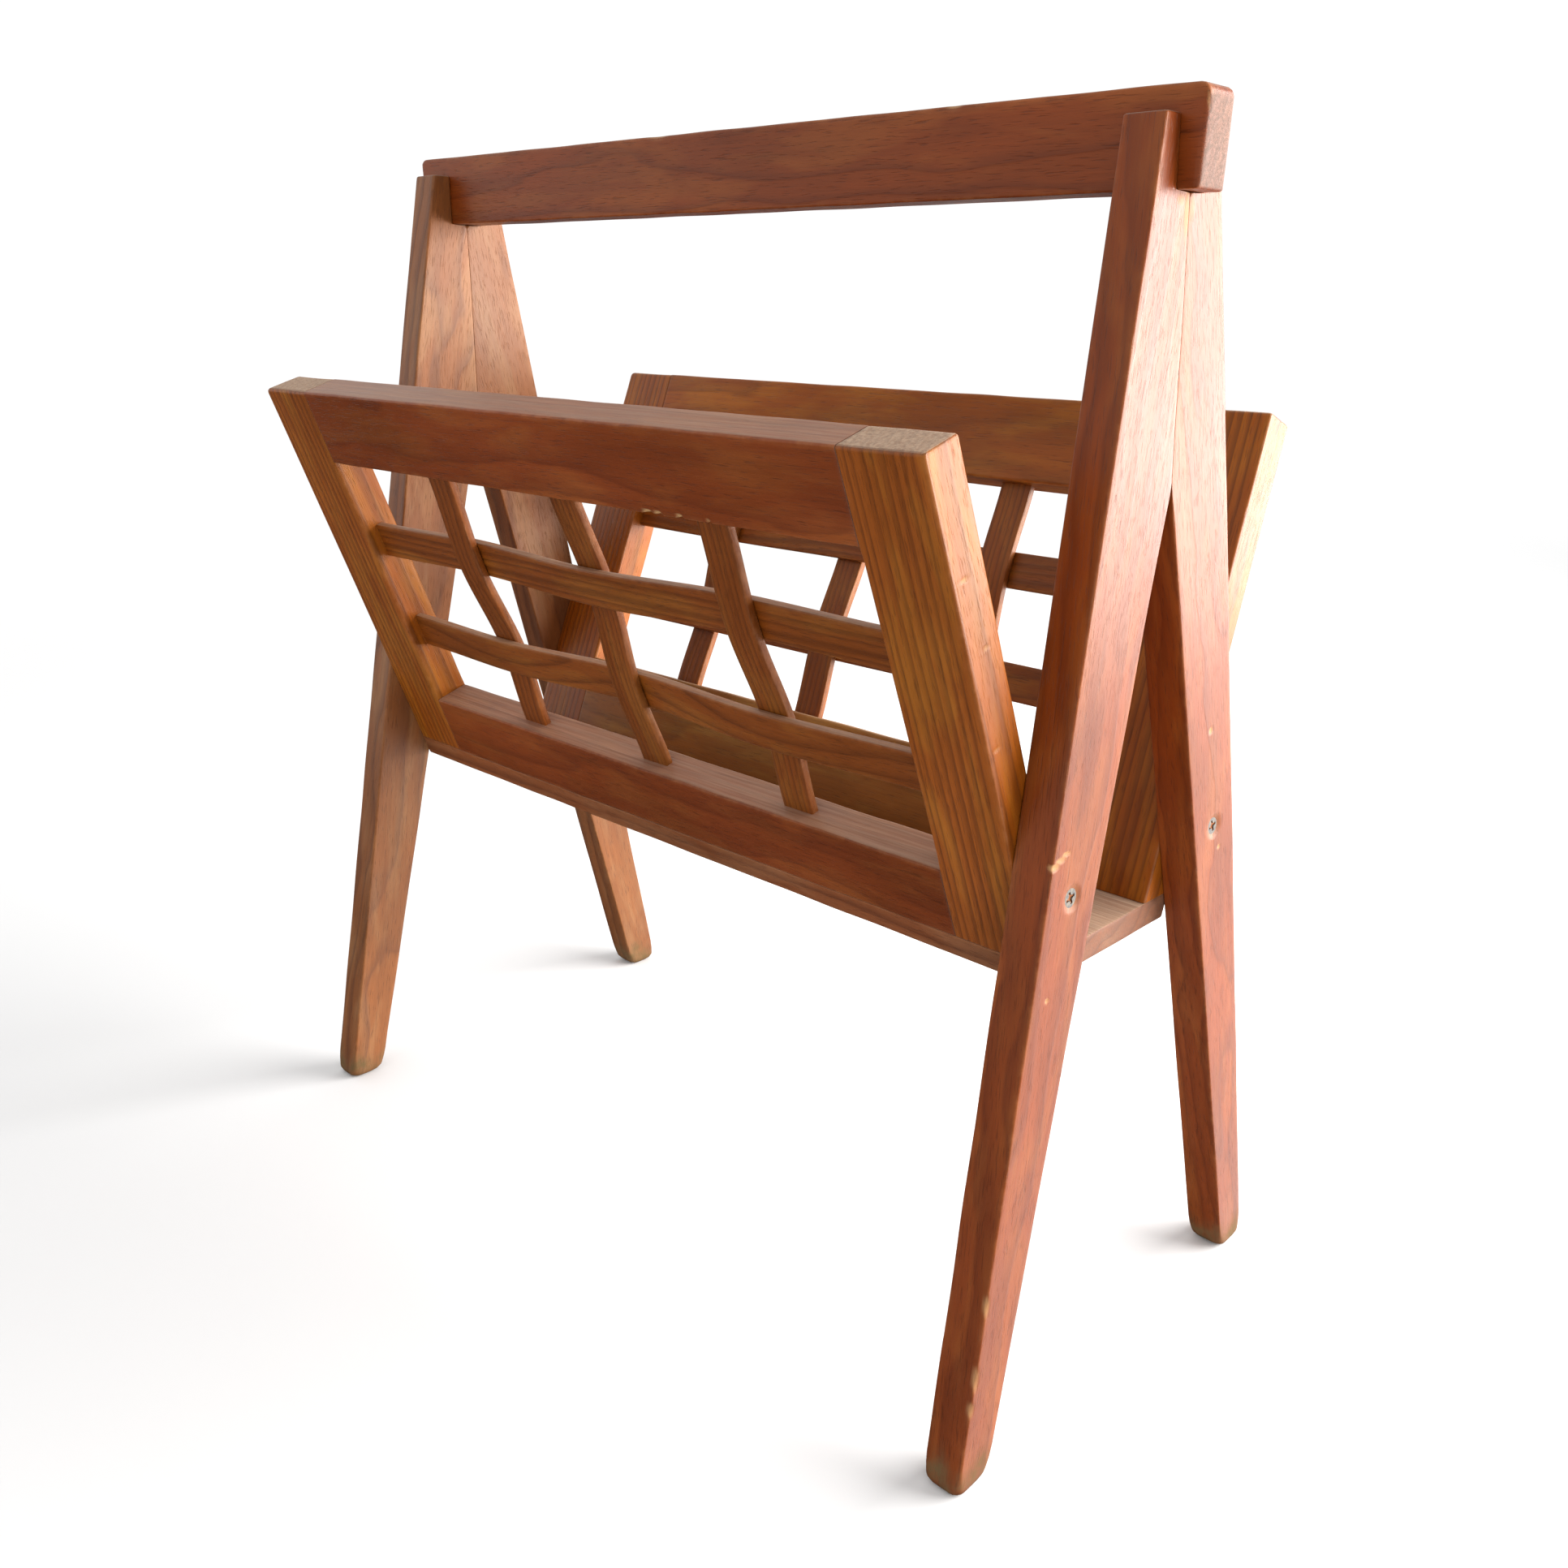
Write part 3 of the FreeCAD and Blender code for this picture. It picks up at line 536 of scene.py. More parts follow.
def finished_mesh(name, points, faces, attributes):
    """A closed mesh object at the origin with its faces outward and its wear attributes."""
    mesh = bpy.data.meshes.new(name)
    mesh.from_pydata([tuple(point) for point in points], [], faces)
    for key, values in attributes.items():
        store(mesh, key, values)
    shape = bmesh.new()
    shape.from_mesh(mesh)
    bmesh.ops.recalc_face_normals(shape, faces=shape.faces)
    shape.to_mesh(mesh)
    shape.free()
    mesh.shade_smooth()
    return linked(name, mesh)


def finish_piece(piece, material, slot_name, *nodes):
    """Gives a piece its material and its body, and hides the CAD nodes it stands for. The slot name
    is not used.
    """
    piece.data.materials.clear()
    piece.data.materials.append(material)
    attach(piece, ROOT)
    if nodes:
        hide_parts(*nodes)


# ---------------------------------------------------------------- the rack's own geometry

# Millimetres: heights from the floor, depths from the middle plane between the panels.
PIVOT_HEIGHT = (SCREWS_LOW.z + SCREWS_HIGH.z) / 2
FLOOR_TOP = BOARD_HIGH.z
HORN_TOP = LEG_HIGH.z
NOTCH = HANDLE_LOW.z
CROTCH = 352.0
FOOT_INSIDE = 86.0
FOOT_OUTSIDE = 103.5
HORN_INSIDE = 8.0
HORN_OUTSIDE = 17.0
CROSS_SLATS_UP = (38.0, 88.0)  # up the panel from the screws
TENON = 2.5  # how far a slat goes into its mortise
WEAVE_GAP = 0.2  # added to half a slat's thickness where two slats cross
SCREW_SUNK = 0.75  # how far a screw's head is below its CAD face
PIN_PROUD = 0.1  # how far a pin's head stands below the floor board


def lean(side):
    """The panel's turn about X: the front panel's top goes towards -Y, the rear's towards +Y."""
    return sizes().front_lean if side < 0 else -sizes().rear_lean


def front_or_rear(side):
    return "front" if side < 0 else "rear"


def left_or_right(side):
    return "left" if side < 0 else "right"


def half_board():
    """Half the thickness of a panel's stiles and rails, in millimetres."""
    return sizes().panel_board / MM / 2


def pivot_depth():
    """How far the leg screws are from the rack's middle plane, in millimetres."""
    return SCREWS_HIGH.y - sizes().screw_head / MM / 2


def on_panel(side):
    """The placing function of a panel: across, through its thickness, and up it."""
    angle = lean(side)
    sine, cosine, depth = math.sin(angle), math.cos(angle), side * pivot_depth()

    def place(across, through, up):
        return Vector((across, depth + through * cosine - up * sine,
                       PIVOT_HEIGHT + through * sine + up * cosine))
    return place


def panel_foot(side, through):
    """How far up the panel its level foot is, at this depth in its thickness."""
    angle = lean(side)
    return (FLOOR_TOP + SEAM - PIVOT_HEIGHT - through * math.sin(angle)) / math.cos(angle)


def rail_top(side, which):
    """How far up the panel the top edge of its top or foot rail is."""
    high = corners_of(f"{front_or_rear(side)}_{which}_rail")[1]
    angle = abs(lean(side))
    return (high.z - PIVOT_HEIGHT - half_board() * math.sin(angle)) / math.cos(angle)


def top_rail_foot(side):
    """How far up the panel the lower edge of its top rail is."""
    width = sizes().front_top_rail if side < 0 else sizes().rear_top_rail
    return rail_top(side, "top") - width / MM


def make_leg(side, depth):
    """One leg: side is left or right, depth is front or rear."""
    name = f"leg_{front_or_rear(depth)}_{left_or_right(side)}"
    low, high = corners_of(name)
    outer_x = high.x if side > 0 else low.x
    pivot = pivot_depth()
    rounding = sizes().edge_round / MM
    foot = sizes().foot_round / MM

    def rect(z):
        outside = FOOT_OUTSIDE + (HORN_OUTSIDE - FOOT_OUTSIDE) * z / HORN_TOP
        if z >= NOTCH:
            inside = HORN_INSIDE + SEAM
        elif z >= CROTCH:
            inside = SEAM
        else:
            inside = SEAM + FOOT_INSIDE * (1 - z / CROTCH)
        return low.x, high.x, inside, outside

    def place(u, v, z):
        return Vector((u, depth * v, z))

    def radii(z):
        seam = 0.15 if z > CROTCH else 0.15 + (rounding - 0.15) * ease((CROTCH - z) / 14)
        if z > NOTCH - 0.1:
            seam = 0.8
        scuffed = 3.0 * (1 - ease(z / 12))
        outer = rounding * 1.15 + scuffed
        return outer, outer, seam + scuffed, seam + scuffed

    marks = [((outer_x, depth * pivot, PIVOT_HEIGHT), (7.5, 5.6, 6.0), (-side * 1.5, 0, 0), 0.12)]
    fine = [(PIVOT_HEIGHT, 7.0, 0.7)]
    if side > 0 and depth < 0:
        edge = rect(231)[3]
        marks += [
            ((outer_x, -edge + 1.0, 229.5), (3.0, 3.4, 1.7), (-0.7, 0.4, 0), 0.65),
            ((outer_x, -edge + 4.5, 231.2), (3.0, 3.6, 1.5), (-0.5, 0, 0), 0.5),
            ((outer_x, -edge + 7.6, 232.6), (3.0, 3.0, 1.2), (-0.5, 0, 0), 0.5),
            ((outer_x, -rect(75)[3], 75), (1.5, 1.6, 6.0), (-0.4, 0.35, 0), 0.45),
            ((outer_x, -rect(48)[3], 48), (1.6, 1.7, 7.0), (-0.5, 0.45, 0), 0.4),
            ((outer_x, -rect(36)[3], 36), (1.6, 1.7, 4.0), (-0.5, 0.45, 0), 0.4),
            ((outer_x, -rect(181)[3] + 9, 181), (2.0, 1.4, 1.4), (-0.4, 0, 0), 0.5),
        ]
        fine += [(231, 6.0, 0.7), (75, 6.4, 0.8), (44, 12.5, 0.8), (181, 2.4, 0.6)]
        # glue that ran out under the handle
        marks += [((outer_x, -1.4, NOTCH - 7), (1.6, 2.0, 11.0), (0.08, 0, 0), 0.5),
                  ((outer_x, -5.5, NOTCH - 3), (1.6, 3.2, 2.2), (0.1, 0, 0), 0.35)]
        fine += [(NOTCH - 6, 5.5, 1.0)]
    if side > 0 and depth > 0:
        marks += [
            ((outer_x, 1.6, NOTCH - 5), (1.6, 2.4, 6.0), (0.08, 0, 0), 0.35),
            ((outer_x, rect(256)[2] + 17, 256), (2.0, 1.4, 1.8), (-0.5, 0, 0), 0.7),
            ((outer_x, rect(205)[3] - 12, 205), (2.0, 1.4, 1.4), (-0.4, 0, 0), 0.5),
        ]
        fine += [(256, 2.5, 0.6), (205, 2.5, 0.6)]

    # painted shade near the floor: full on the lowest few millimetres, gone by about 15 mm up, with
    # a ragged edge
    def shade_near_floor(points):
        ragged = 4.0 * np.sin(points[:, 0] / 2.3 + side) * np.sin(points[:, 1] / 3.1 + depth)
        return np.clip((15.0 + ragged - points[:, 2]) / 9.0, 0, 1)

    stations = along_board(0.0, HORN_TOP, 4.2, foot, rounding, fine)
    stations = sorted({z for z in stations if abs(z - NOTCH) > 0.9} | {NOTCH - 0.5, NOTCH})
    ends = ((foot * 0.75, foot * 0.75, foot * 0.9, foot * 0.9), (rounding,) * 4)
    return name, make_board(name.replace("leg_", "") + "_leg", stations, rect, place, radii,
                            (14, 30), ends, 3 + side + 5 * depth, marks, shade_near_floor)


def make_handle():
    """The carrying handle, its ends sawn at a slight slope and its top corners rounded."""
    reach_top = HANDLE_HIGH.x
    reach_foot = reach_top - 2.0
    top, foot = HANDLE_HIGH.z, HANDLE_LOW.z
    rounding = sizes().edge_round / MM

    def place(u, v, t):
        reach = reach_foot + (reach_top - reach_foot) * (v - foot) / (top - foot)
        return Vector((t * reach / reach_top, u, v))

    def rect(t):
        return HANDLE_LOW.y, HANDLE_HIGH.y, foot + 0.02, top

    def radii(t):
        return rounding * 1.3, rounding * 1.3, rounding * 0.8, rounding * 0.8

    ends = ((1.2, 1.2, 1.0, 4.0),) * 2
    marks = [
        ((-40.0, HANDLE_LOW.y, top), (9.0, 1.6, 1.2), (0, 0.3, -0.3), 0.4),
        ((126.0, HANDLE_LOW.y, top), (5.0, 1.6, 1.2), (0, 0.3, -0.3), 0.5),
        ((reach_top, HANDLE_LOW.y, top - 6), (1.6, 1.4, 3.0), (-0.5, 0.3, 0), 0.5),
    ]
    stations = along_board(-reach_top, reach_top, 4.5, 4.0, 4.0, [(-40, 9, 1.2), (126, 5, 1.0)])
    return make_board("carrying_handle", stations, rect, place, radii, (6, 12), ends, 11, marks)


def make_stile(side, hand):
    """An end board of a panel: square top, level foot."""
    name = f"{front_or_rear(side)}_stile_{left_or_right(hand)}"
    low, high = corners_of(name)
    half = half_board()
    head = rail_top(side, "top")
    length = head - panel_foot(side, 0)
    panel = on_panel(side)
    rounding = sizes().edge_round / MM
    rail_low, rail_high = rail_top(side, "foot"), top_rail_foot(side)

    def rect(t):
        return low.x + SEAM / 2, high.x - SEAM / 2, -half, half

    def height(v, t):
        foot = panel_foot(side, v)
        return foot + (head - foot) * t / length

    def place(u, v, t):
        return panel(u, v, height(v, t))

    def radii(t):
        up = height(0, t)
        jointed = 1 - ease((up - rail_low) / 4) * ease((rail_high - up) / 4)
        inner = 1.2 + (0.35 - 1.2) * jointed
        outer = rounding * 1.2
        return (outer, inner, inner, outer) if hand > 0 else (inner, outer, outer, inner)

    marks, fine = [], []
    if side < 0 < hand:
        for up, through, reach, light in ((122.0, -2.5, 1.7, 0.4), (96.0, 1.0, 1.3, 0.35),
                                          (60.0, -4.0, 1.2, 0.2)):
            spot = panel(high.x, through, up)
            marks.append((tuple(spot), (1.6, reach, 1.2), (-0.35, 0, 0), light))
            fine.append((up - panel_foot(side, 0), 3.0, 0.6))
    ends = ((0.4,) * 4, (2.6, 0.4, 1.4, 1.4) if hand < 0 else (0.4, 1.0, 1.4, 1.4))
    stations = along_board(0.0, length, 4.5, 0.4, 2.6, fine)
    return name, make_board(name + "_board", stations, rect, place, radii, (14, 8), ends,
                            21 + 2 * side + 5 * hand, marks)


def make_rail(side, top):
    """A rail between the stiles: top is true for the top rail and false for the foot rail."""
    which = "top" if top else "foot"
    name = f"{front_or_rear(side)}_{which}_rail"
    low, high = corners_of(name)
    half = half_board()
    panel = on_panel(side)
    rounding = sizes().edge_round / MM
    foot = top_rail_foot(side) if top else panel_foot(side, 0)
    head = rail_top(side, which)

    def rect(t):
        return -half, half, foot, head

    def place(u, v, t):
        if top:
            return panel(t, u, v)
        sunk = (panel_foot(side, u) - foot) * (head - v) / (head - foot)
        return panel(t, u, v + sunk)

    def radii(t):
        if top:
            return rounding * 1.25, rounding * 1.25, 1.1, 1.1
        return 1.1, 1.1, 0.5, 0.5

    marks, fine = [], []
    if top and side < 0:
        for across, reach, light in ((62.5, 4.2, 0.95), (68.5, 3.2, 0.9), (80.5, 2.8, 0.9),
                                     (96.0, 1.6, 0.5)):
            spot = panel(across, -half, foot)
            marks.append((tuple(spot), (reach, 2.4, 1.9), (0, 0.8, 1.0), light))
            fine.append((across, reach + 0.6, 0.6))
    ends = ((0.35,) * 4,) * 2
    stations = along_board(low.x + SEAM, high.x - SEAM, 4.5, 0.35, 0.35, fine)
    return name, make_board(name + "_board", stations, rect, place, radii, (6, 12), ends,
                            41 + 3 * side + (7 if top else 0), marks)


def make_floor_board():
    """The board under the magazines, its long edges bevelled in line with the panels."""
    fall = BOARD_HIGH.z - BOARD_LOW.z
    front_slope = fall * math.tan(abs(lean(-1)))
    rear_slope = fall * math.tan(abs(lean(1)))

    def rect(t):
        return BOARD_LOW.z, BOARD_HIGH.z - 0.02, BOARD_LOW.y, BOARD_HIGH.y

    def place(u, v, t):
        share = (v - BOARD_LOW.y) / (BOARD_HIGH.y - BOARD_LOW.y)
        drop = (BOARD_HIGH.z - u) / fall
        return Vector((t, v + drop * (front_slope * (1 - share) - rear_slope * share), u))

    def radii(t):
        return 0.6, 1.0, 1.0, 0.6

    ends = ((0.5,) * 4,) * 2
    stations = along_board(BOARD_LOW.x + SEAM, BOARD_HIGH.x - SEAM, 5.0, 0.5, 0.5)
    return make_board("basket_floor_board", stations, rect, place, radii, (4, 28), ends, 71)


# ---------------------------------------------------------------- repeated parts


def node_tree(name, inputs):
    """An empty geometry tree with named inputs and one geometry output."""
    tree = bpy.data.node_groups.new(name, "GeometryNodeTree")
    tree.interface.new_socket("Geometry", in_out="INPUT", socket_type="NodeSocketGeometry")
    for key, kind, default in inputs:
        socket = tree.interface.new_socket(key, in_out="INPUT", socket_type="NodeSocket" + kind)
        socket.default_value = default
    tree.interface.new_socket("Geometry", in_out="OUTPUT", socket_type="NodeSocketGeometry")
    return tree, add(tree, "NodeGroupInput").outputs


def close_tree(geometry, material):
    """Ends a tree with real geometry and its material."""
    tree = host(geometry)
    real = add(tree, "GeometryNodeRealizeInstances", {"Geometry": geometry}).outputs["Geometry"]
    dressed = add(tree, "GeometryNodeSetMaterial", {"Geometry": real, "Material": material})
    add(tree, "NodeGroupOutput", {"Geometry": dressed.outputs["Geometry"]})


def grown_mesh(name, tree, values, points=((0, 0, 0),), turns=None, bevel=0.0):
    """Runs a tree on some points and keeps the result as a plain mesh object."""
    base = bpy.data.meshes.new(name + "_points")
    base.from_pydata([tuple(point) for point in points], [], [])
    if turns:
        layer = base.attributes.new("turn", "FLOAT_VECTOR", "POINT")
        layer.data.foreach_set("vector", [part for turn in turns for part in turn])
    holder = linked(name + "_points", base)
    grown = holder.modifiers.new("grow", "NODES")
    grown.node_group = tree
    for item in tree.interface.items_tree:
        if item.item_type == "SOCKET" and item.in_out == "INPUT" and item.name in values:
            grown[item.identifier] = values[item.name]
    if bevel:
        eased = holder.modifiers.new("ease", "BEVEL")
        eased.width = bevel
        eased.segments = 2
        eased.limit_method = "ANGLE"
        eased.angle_limit = math.radians(40)
    bpy.context.view_layer.update()
    graph = bpy.context.evaluated_depsgraph_get()
    mesh = bpy.data.meshes.new_from_object(holder.evaluated_get(graph))
    mesh.name = name
    bpy.data.objects.remove(holder)
    bpy.data.meshes.remove(base)
    if not mesh.polygons:
        raise RuntimeError(f"{name} grew no faces")
    return linked(name, mesh)


def vector_of(tree, **parts):
    """A vector from some of its parts."""
    return add(tree, "ShaderNodeCombineXYZ", parts).outputs["Vector"]


def put_at(geometry, height, turn=0.0):
    """A part raised along Z and turned about it."""
    tree = host(geometry)
    return add(tree, "GeometryNodeTransform",
               {"Geometry": geometry, "Translation": vector_of(tree, Z=height),
                "Rotation": (0, 0, turn)}).outputs["Geometry"]


def cone(tree, foot, top, depth, height, sides):
    """A closed cone or cylinder on the Z axis, its foot at this height."""
    made = add(tree, "GeometryNodeMeshCone",
               {"Vertices": sides, "Radius Top": top, "Radius Bottom": foot, "Depth": depth}
               ).outputs["Mesh"]
    return put_at(made, height)


def gathered(kind, socket, parts, inputs=None, **settings):
    """A node that takes any number of parts in one input."""
    tree = host(*parts)
    made = add(tree, kind, inputs, **settings)
    for part in parts:
        tree.links.new(part, made.inputs[socket])
    return made.outputs[0]


def standing(points, part, **turn):
    """One copy of a part at every point."""
    return add(host(part), "GeometryNodeInstanceOnPoints",
               {"Points": points, "Instance": part, **turn}).outputs["Instances"]


def woven_slat_tree(material):
    """Thin slats that pass over and under the slats that cross them."""
    tree, given = node_tree("woven_slats", (
        ("Slats", "Int", 3), ("First Place", "Float", 0.0), ("Pitch", "Float", 0.09),
        ("Start", "Float", 0.0), ("Finish", "Float", 0.1), ("Crossings", "Int", 2),
        ("First Crossing", "Float", 0.03), ("Crossing Pitch", "Float", 0.05),
        ("Width", "Float", 0.0165), ("Thickness", "Float", 0.0036), ("Lift", "Float", 0.0019),
        ("Shoulder", "Float", 0.002), ("First Side", "Float", 1.0),
        ("Divisions", "Int", 60)))
    start, finish, shoulder = given["Start"], given["Finish"], given["Shoulder"]
    crossing, crossing_pitch = given["First Crossing"], given["Crossing Pitch"]

    size = vector_of(tree, X=given["Width"], Y=given["Thickness"],
                     Z=maths("SUBTRACT", finish, start))
    blank = add(tree, "GeometryNodeMeshCube", {"Size": size, "Vertices X": 9, "Vertices Y": 3,
                 "Vertices Z": given["Divisions"]}).outputs["Mesh"]
    centre = maths("MULTIPLY", maths("ADD", finish, start), 0.5)
    row = add(tree, "GeometryNodeMeshLine",
              {"Count": given["Slats"], "Offset": vector_of(tree, X=given["Pitch"]),
               "Start Location": vector_of(tree, X=given["First Place"], Z=centre)}
              ).outputs["Mesh"]
    number = add(tree, "GeometryNodeInputIndex").outputs["Index"]
    row = add(tree, "GeometryNodeStoreNamedAttribute",
              {"Geometry": row, "Name": "slat_number", "Value": number},
              data_type="INT").outputs["Geometry"]
    real = add(tree, "GeometryNodeRealizeInstances", {"Geometry": standing(row, blank)}
               ).outputs["Geometry"]

    # a cosine over the crossings, faded out to the shoulders at both ends
    up = add(tree, "ShaderNodeSeparateXYZ",
             {"Vector": add(tree, "GeometryNodeInputPosition").outputs["Position"]}).outputs["Z"]
    spaces = maths("SUBTRACT", given["Crossings"], 1.0)
    last = maths("MULTIPLY_ADD", spaces, crossing_pitch, crossing)
    phase = maths("DIVIDE", maths("SUBTRACT", up, crossing), crossing_pitch)
    held = add(tree, "ShaderNodeClamp", {"Value": phase, "Min": 0.0, "Max": spaces}
               ).outputs["Result"]
    swing = maths("COSINE", maths("MULTIPLY", held, math.pi))
    rise = scaled(up, maths("ADD", start, shoulder), crossing, 0.0, 1.0, smooth=True)
    fall = scaled(up, last, maths("SUBTRACT", finish, shoulder), 1.0, 0.0, smooth=True)
    which = add(tree, "GeometryNodeInputNamedAttribute", {"Name": "slat_number"},
                data_type="INT").outputs["Attribute"]
    turn = maths("MULTIPLY_ADD", maths("MODULO", which, 2.0), -2.0, 1.0)
    lift = maths("MULTIPLY", maths("MULTIPLY", turn, given["First Side"]), given["Lift"])
    wave = maths("MULTIPLY", swing, maths("MULTIPLY", rise, fall))
    shift = vector_of(tree, Y=maths("MULTIPLY", wave, lift))
    woven = add(tree, "GeometryNodeSetPosition", {"Geometry": real, "Offset": shift}
                ).outputs["Geometry"]
    close_tree(woven, material)
    return tree


def make_slats(side, upright, material):
    """The uprights or the cross slats of one panel."""
    size = sizes()
    word = front_or_rear(side)
    columns = [middle_of(f"{word}_upright_slat_{place}").x * MM
               for place in ("left", "middle", "right")]
    rows = [up * MM for up in CROSS_SLATS_UP]
    if upright:
        count, places, crossings = size.slats_up, columns, rows
        start, finish = rail_top(side, "foot"), top_rail_foot(side)
    else:
        # cross slats are made upright too, and then turned over onto their side
        count, places, crossings = size.slats_across, [-row for row in rows], columns
        start, finish = (corner.x for corner in corners_of(f"{word}_top_rail"))
    values = {"Width": size.slat_width, "Thickness": size.slat_thickness,
              "Lift": size.slat_thickness / 2 + WEAVE_GAP * MM, "Slats": count,
              "First Place": places[0], "Pitch": places[1] - places[0],
              "Start": (start - TENON) * MM, "Finish": (finish + TENON) * MM,
              "Shoulder": (TENON + 1.0) * MM, "Crossings": len(crossings),
              "First Crossing": crossings[0], "Crossing Pitch": crossings[1] - crossings[0],
              "First Side": 1.0 if upright else -1.0, "Divisions": 56 if upright else 130}
    name = f"{word}_{'upright' if upright else 'cross'}_slats"
    made = grown_mesh(name, woven_slat_tree(material), values, bevel=0.5 * MM)
    mesh = made.data
    coordinates = np.empty(len(mesh.vertices) * 3, np.float32)
    mesh.vertices.foreach_get("co", coordinates)
    across = coordinates.reshape(-1, 3)[:, 0]
    centres = places[0] + np.arange(count) * values["Pitch"]
    away = np.abs(across[:, None] - centres[None, :]).min(axis=1)
    store(mesh, "edge_wear", np.clip(1 - (size.slat_width / 2 - away) / (1.0 * MM), 0, 1))
    if not upright:
        mesh.transform(Matrix.Rotation(math.pi / 2, 4, "Y"))
    mesh.transform(Matrix.Translation((0, side * pivot_depth() * MM, PIVOT_HEIGHT * MM))
                   @ Matrix.Rotation(lean(side), 4, "X"))
    mesh.shade_smooth()
    return made


def screw_tree(material):
    """Countersunk wood screws with a cross recess, heads up along Z."""
    tree, given = node_tree("wood_screws", (
        ("Head", "Float", 0.0041), ("Shank", "Float", 0.0018), ("Length", "Float", 0.032)))
    head, shank, length = given["Head"], given["Shank"], given["Length"]
    sides, rim, sink, tip = 40, 0.3 * MM, 2.4 * MM, 6.0 * MM
    under_head = maths("ADD", shank, 0.1 * MM)
    discs = (cone(tree, under_head, head, sink, -rim - sink, sides),
             cone(tree, head, maths("MULTIPLY", head, 0.94), rim, -rim, sides))
    # the cross recess: two bars and the pit where they meet
    bar = add(tree, "GeometryNodeMeshCube", {"Size": (4.8 * MM, 1.1 * MM, 3.4 * MM)}
              ).outputs["Mesh"]
    cutters = [put_at(bar, 0.0, turn + 0.35) for turn in (0.0, math.pi / 2)]
    cutters.append(cone(tree, 0.5 * MM, 1.3 * MM, 2.4 * MM, -2.3 * MM, sides))
    solid = gathered("GeometryNodeMeshBoolean", "Mesh 2", discs, operation="UNION",
                     solver="EXACT")
    cut = gathered("GeometryNodeMeshBoolean", "Mesh 2", cutters, {"Mesh 1": solid},
                   operation="DIFFERENCE", solver="EXACT")
    stem = cone(tree, shank, shank, maths("SUBTRACT", length, 8.6 * MM),
                maths("SUBTRACT", tip, length), sides)
    point = cone(tree, 0.1 * MM, shank, tip, maths("MULTIPLY", length, -1.0), sides)
    helix = add(tree, "GeometryNodeCurveSpiral",
                {"Resolution": 24, "Rotations": 11.0, "Start Radius": shank,
                 "End Radius": under_head, "Height": maths("SUBTRACT", length, 12.2 * MM)}
                ).outputs["Curve"]
    helix = put_at(helix, maths("SUBTRACT", 3.5 * MM, length))
    blade = add(tree, "GeometryNodeCurvePrimitiveCircle",
                {"Resolution": 3, "Radius": 0.38 * MM}).outputs["Curve"]
    thread = add(tree, "GeometryNodeCurveToMesh",
                 {"Curve": helix, "Profile Curve": blade, "Fill Caps": True}).outputs["Mesh"]
    joined = gathered("GeometryNodeJoinGeometry", "Geometry", (cut, stem, point, thread))
    turn = add(tree, "GeometryNodeInputNamedAttribute", {"Name": "turn"},
               data_type="FLOAT_VECTOR").outputs["Attribute"]
    close_tree(standing(given["Geometry"], joined, Rotation=turn), material)
    return tree


def pin_tree(material):
    """Wire nails with flat heads, points up along Z."""
    tree, given = node_tree("wire_nails", (
        ("Head", "Float", 0.002), ("Wire", "Float", 0.001), ("Length", "Float", 0.024)))
    head, wire = given["Head"], given["Wire"]
    sides, rim, tip = 24, 0.25 * MM, 3.0 * MM
    shoulder = maths("SUBTRACT", given["Length"], tip)
    joined = gathered("GeometryNodeJoinGeometry", "Geometry", (
        cone(tree, maths("MULTIPLY", head, 0.9), head, rim, 0.0, sides),
        cone(tree, head, wire, 1.0 * MM, rim, sides),
        cone(tree, wire, wire, maths("SUBTRACT", shoulder, 0.5 * MM), 0.8 * MM, sides),
        cone(tree, wire, 0.1 * MM, tip, shoulder, sides)))
    close_tree(standing(given["Geometry"], joined), material)
    return tree


# ---------------------------------------------------------------- studio

FLOOR_REACH = 12.0  # metres
CAMERA_PLACE = (0.470356, -0.422995, 0.407531)
CAMERA_TURN = (40.333, -15.13, 1.062)  # yaw, pitch and roll in degrees
LENS = 32.212
LENS_SHIFT = (-0.0901, -0.0571)
HORIZON = (-0.17, -0.06)  # the heights on a unit sphere between which the surroundings change
WINDOW_SIDE = (0.71, 0.71, 0)


def make_floor():
    shape = bpy.data.meshes.new("studio_floor")
    corners = [(FLOOR_REACH * across, FLOOR_REACH * depth, 0)
               for across, depth in ((-1, -1), (1, -1), (1, 1), (-1, 1))]
    shape.from_pydata(corners, [], [(0, 1, 2, 3)])
    shape.materials.append(matt_floor_paint())
    floor = linked("studio_floor", shape)
    floor.visible_glossy = False


def light_softbox(name, place, target, size, power, colour):
    """A rectangular soft lamp at a place, turned to its target."""
    lamp = bpy.data.lights.new(name, "AREA")
    lamp.shape = "RECTANGLE"
    lamp.size, lamp.size_y = size
    lamp.energy = power
    lamp.color = colour
    made = linked(name, lamp)
    made.location = place
    made.rotation_euler = (Vector(target) - Vector(place)).to_track_quat("-Z", "Y").to_euler()


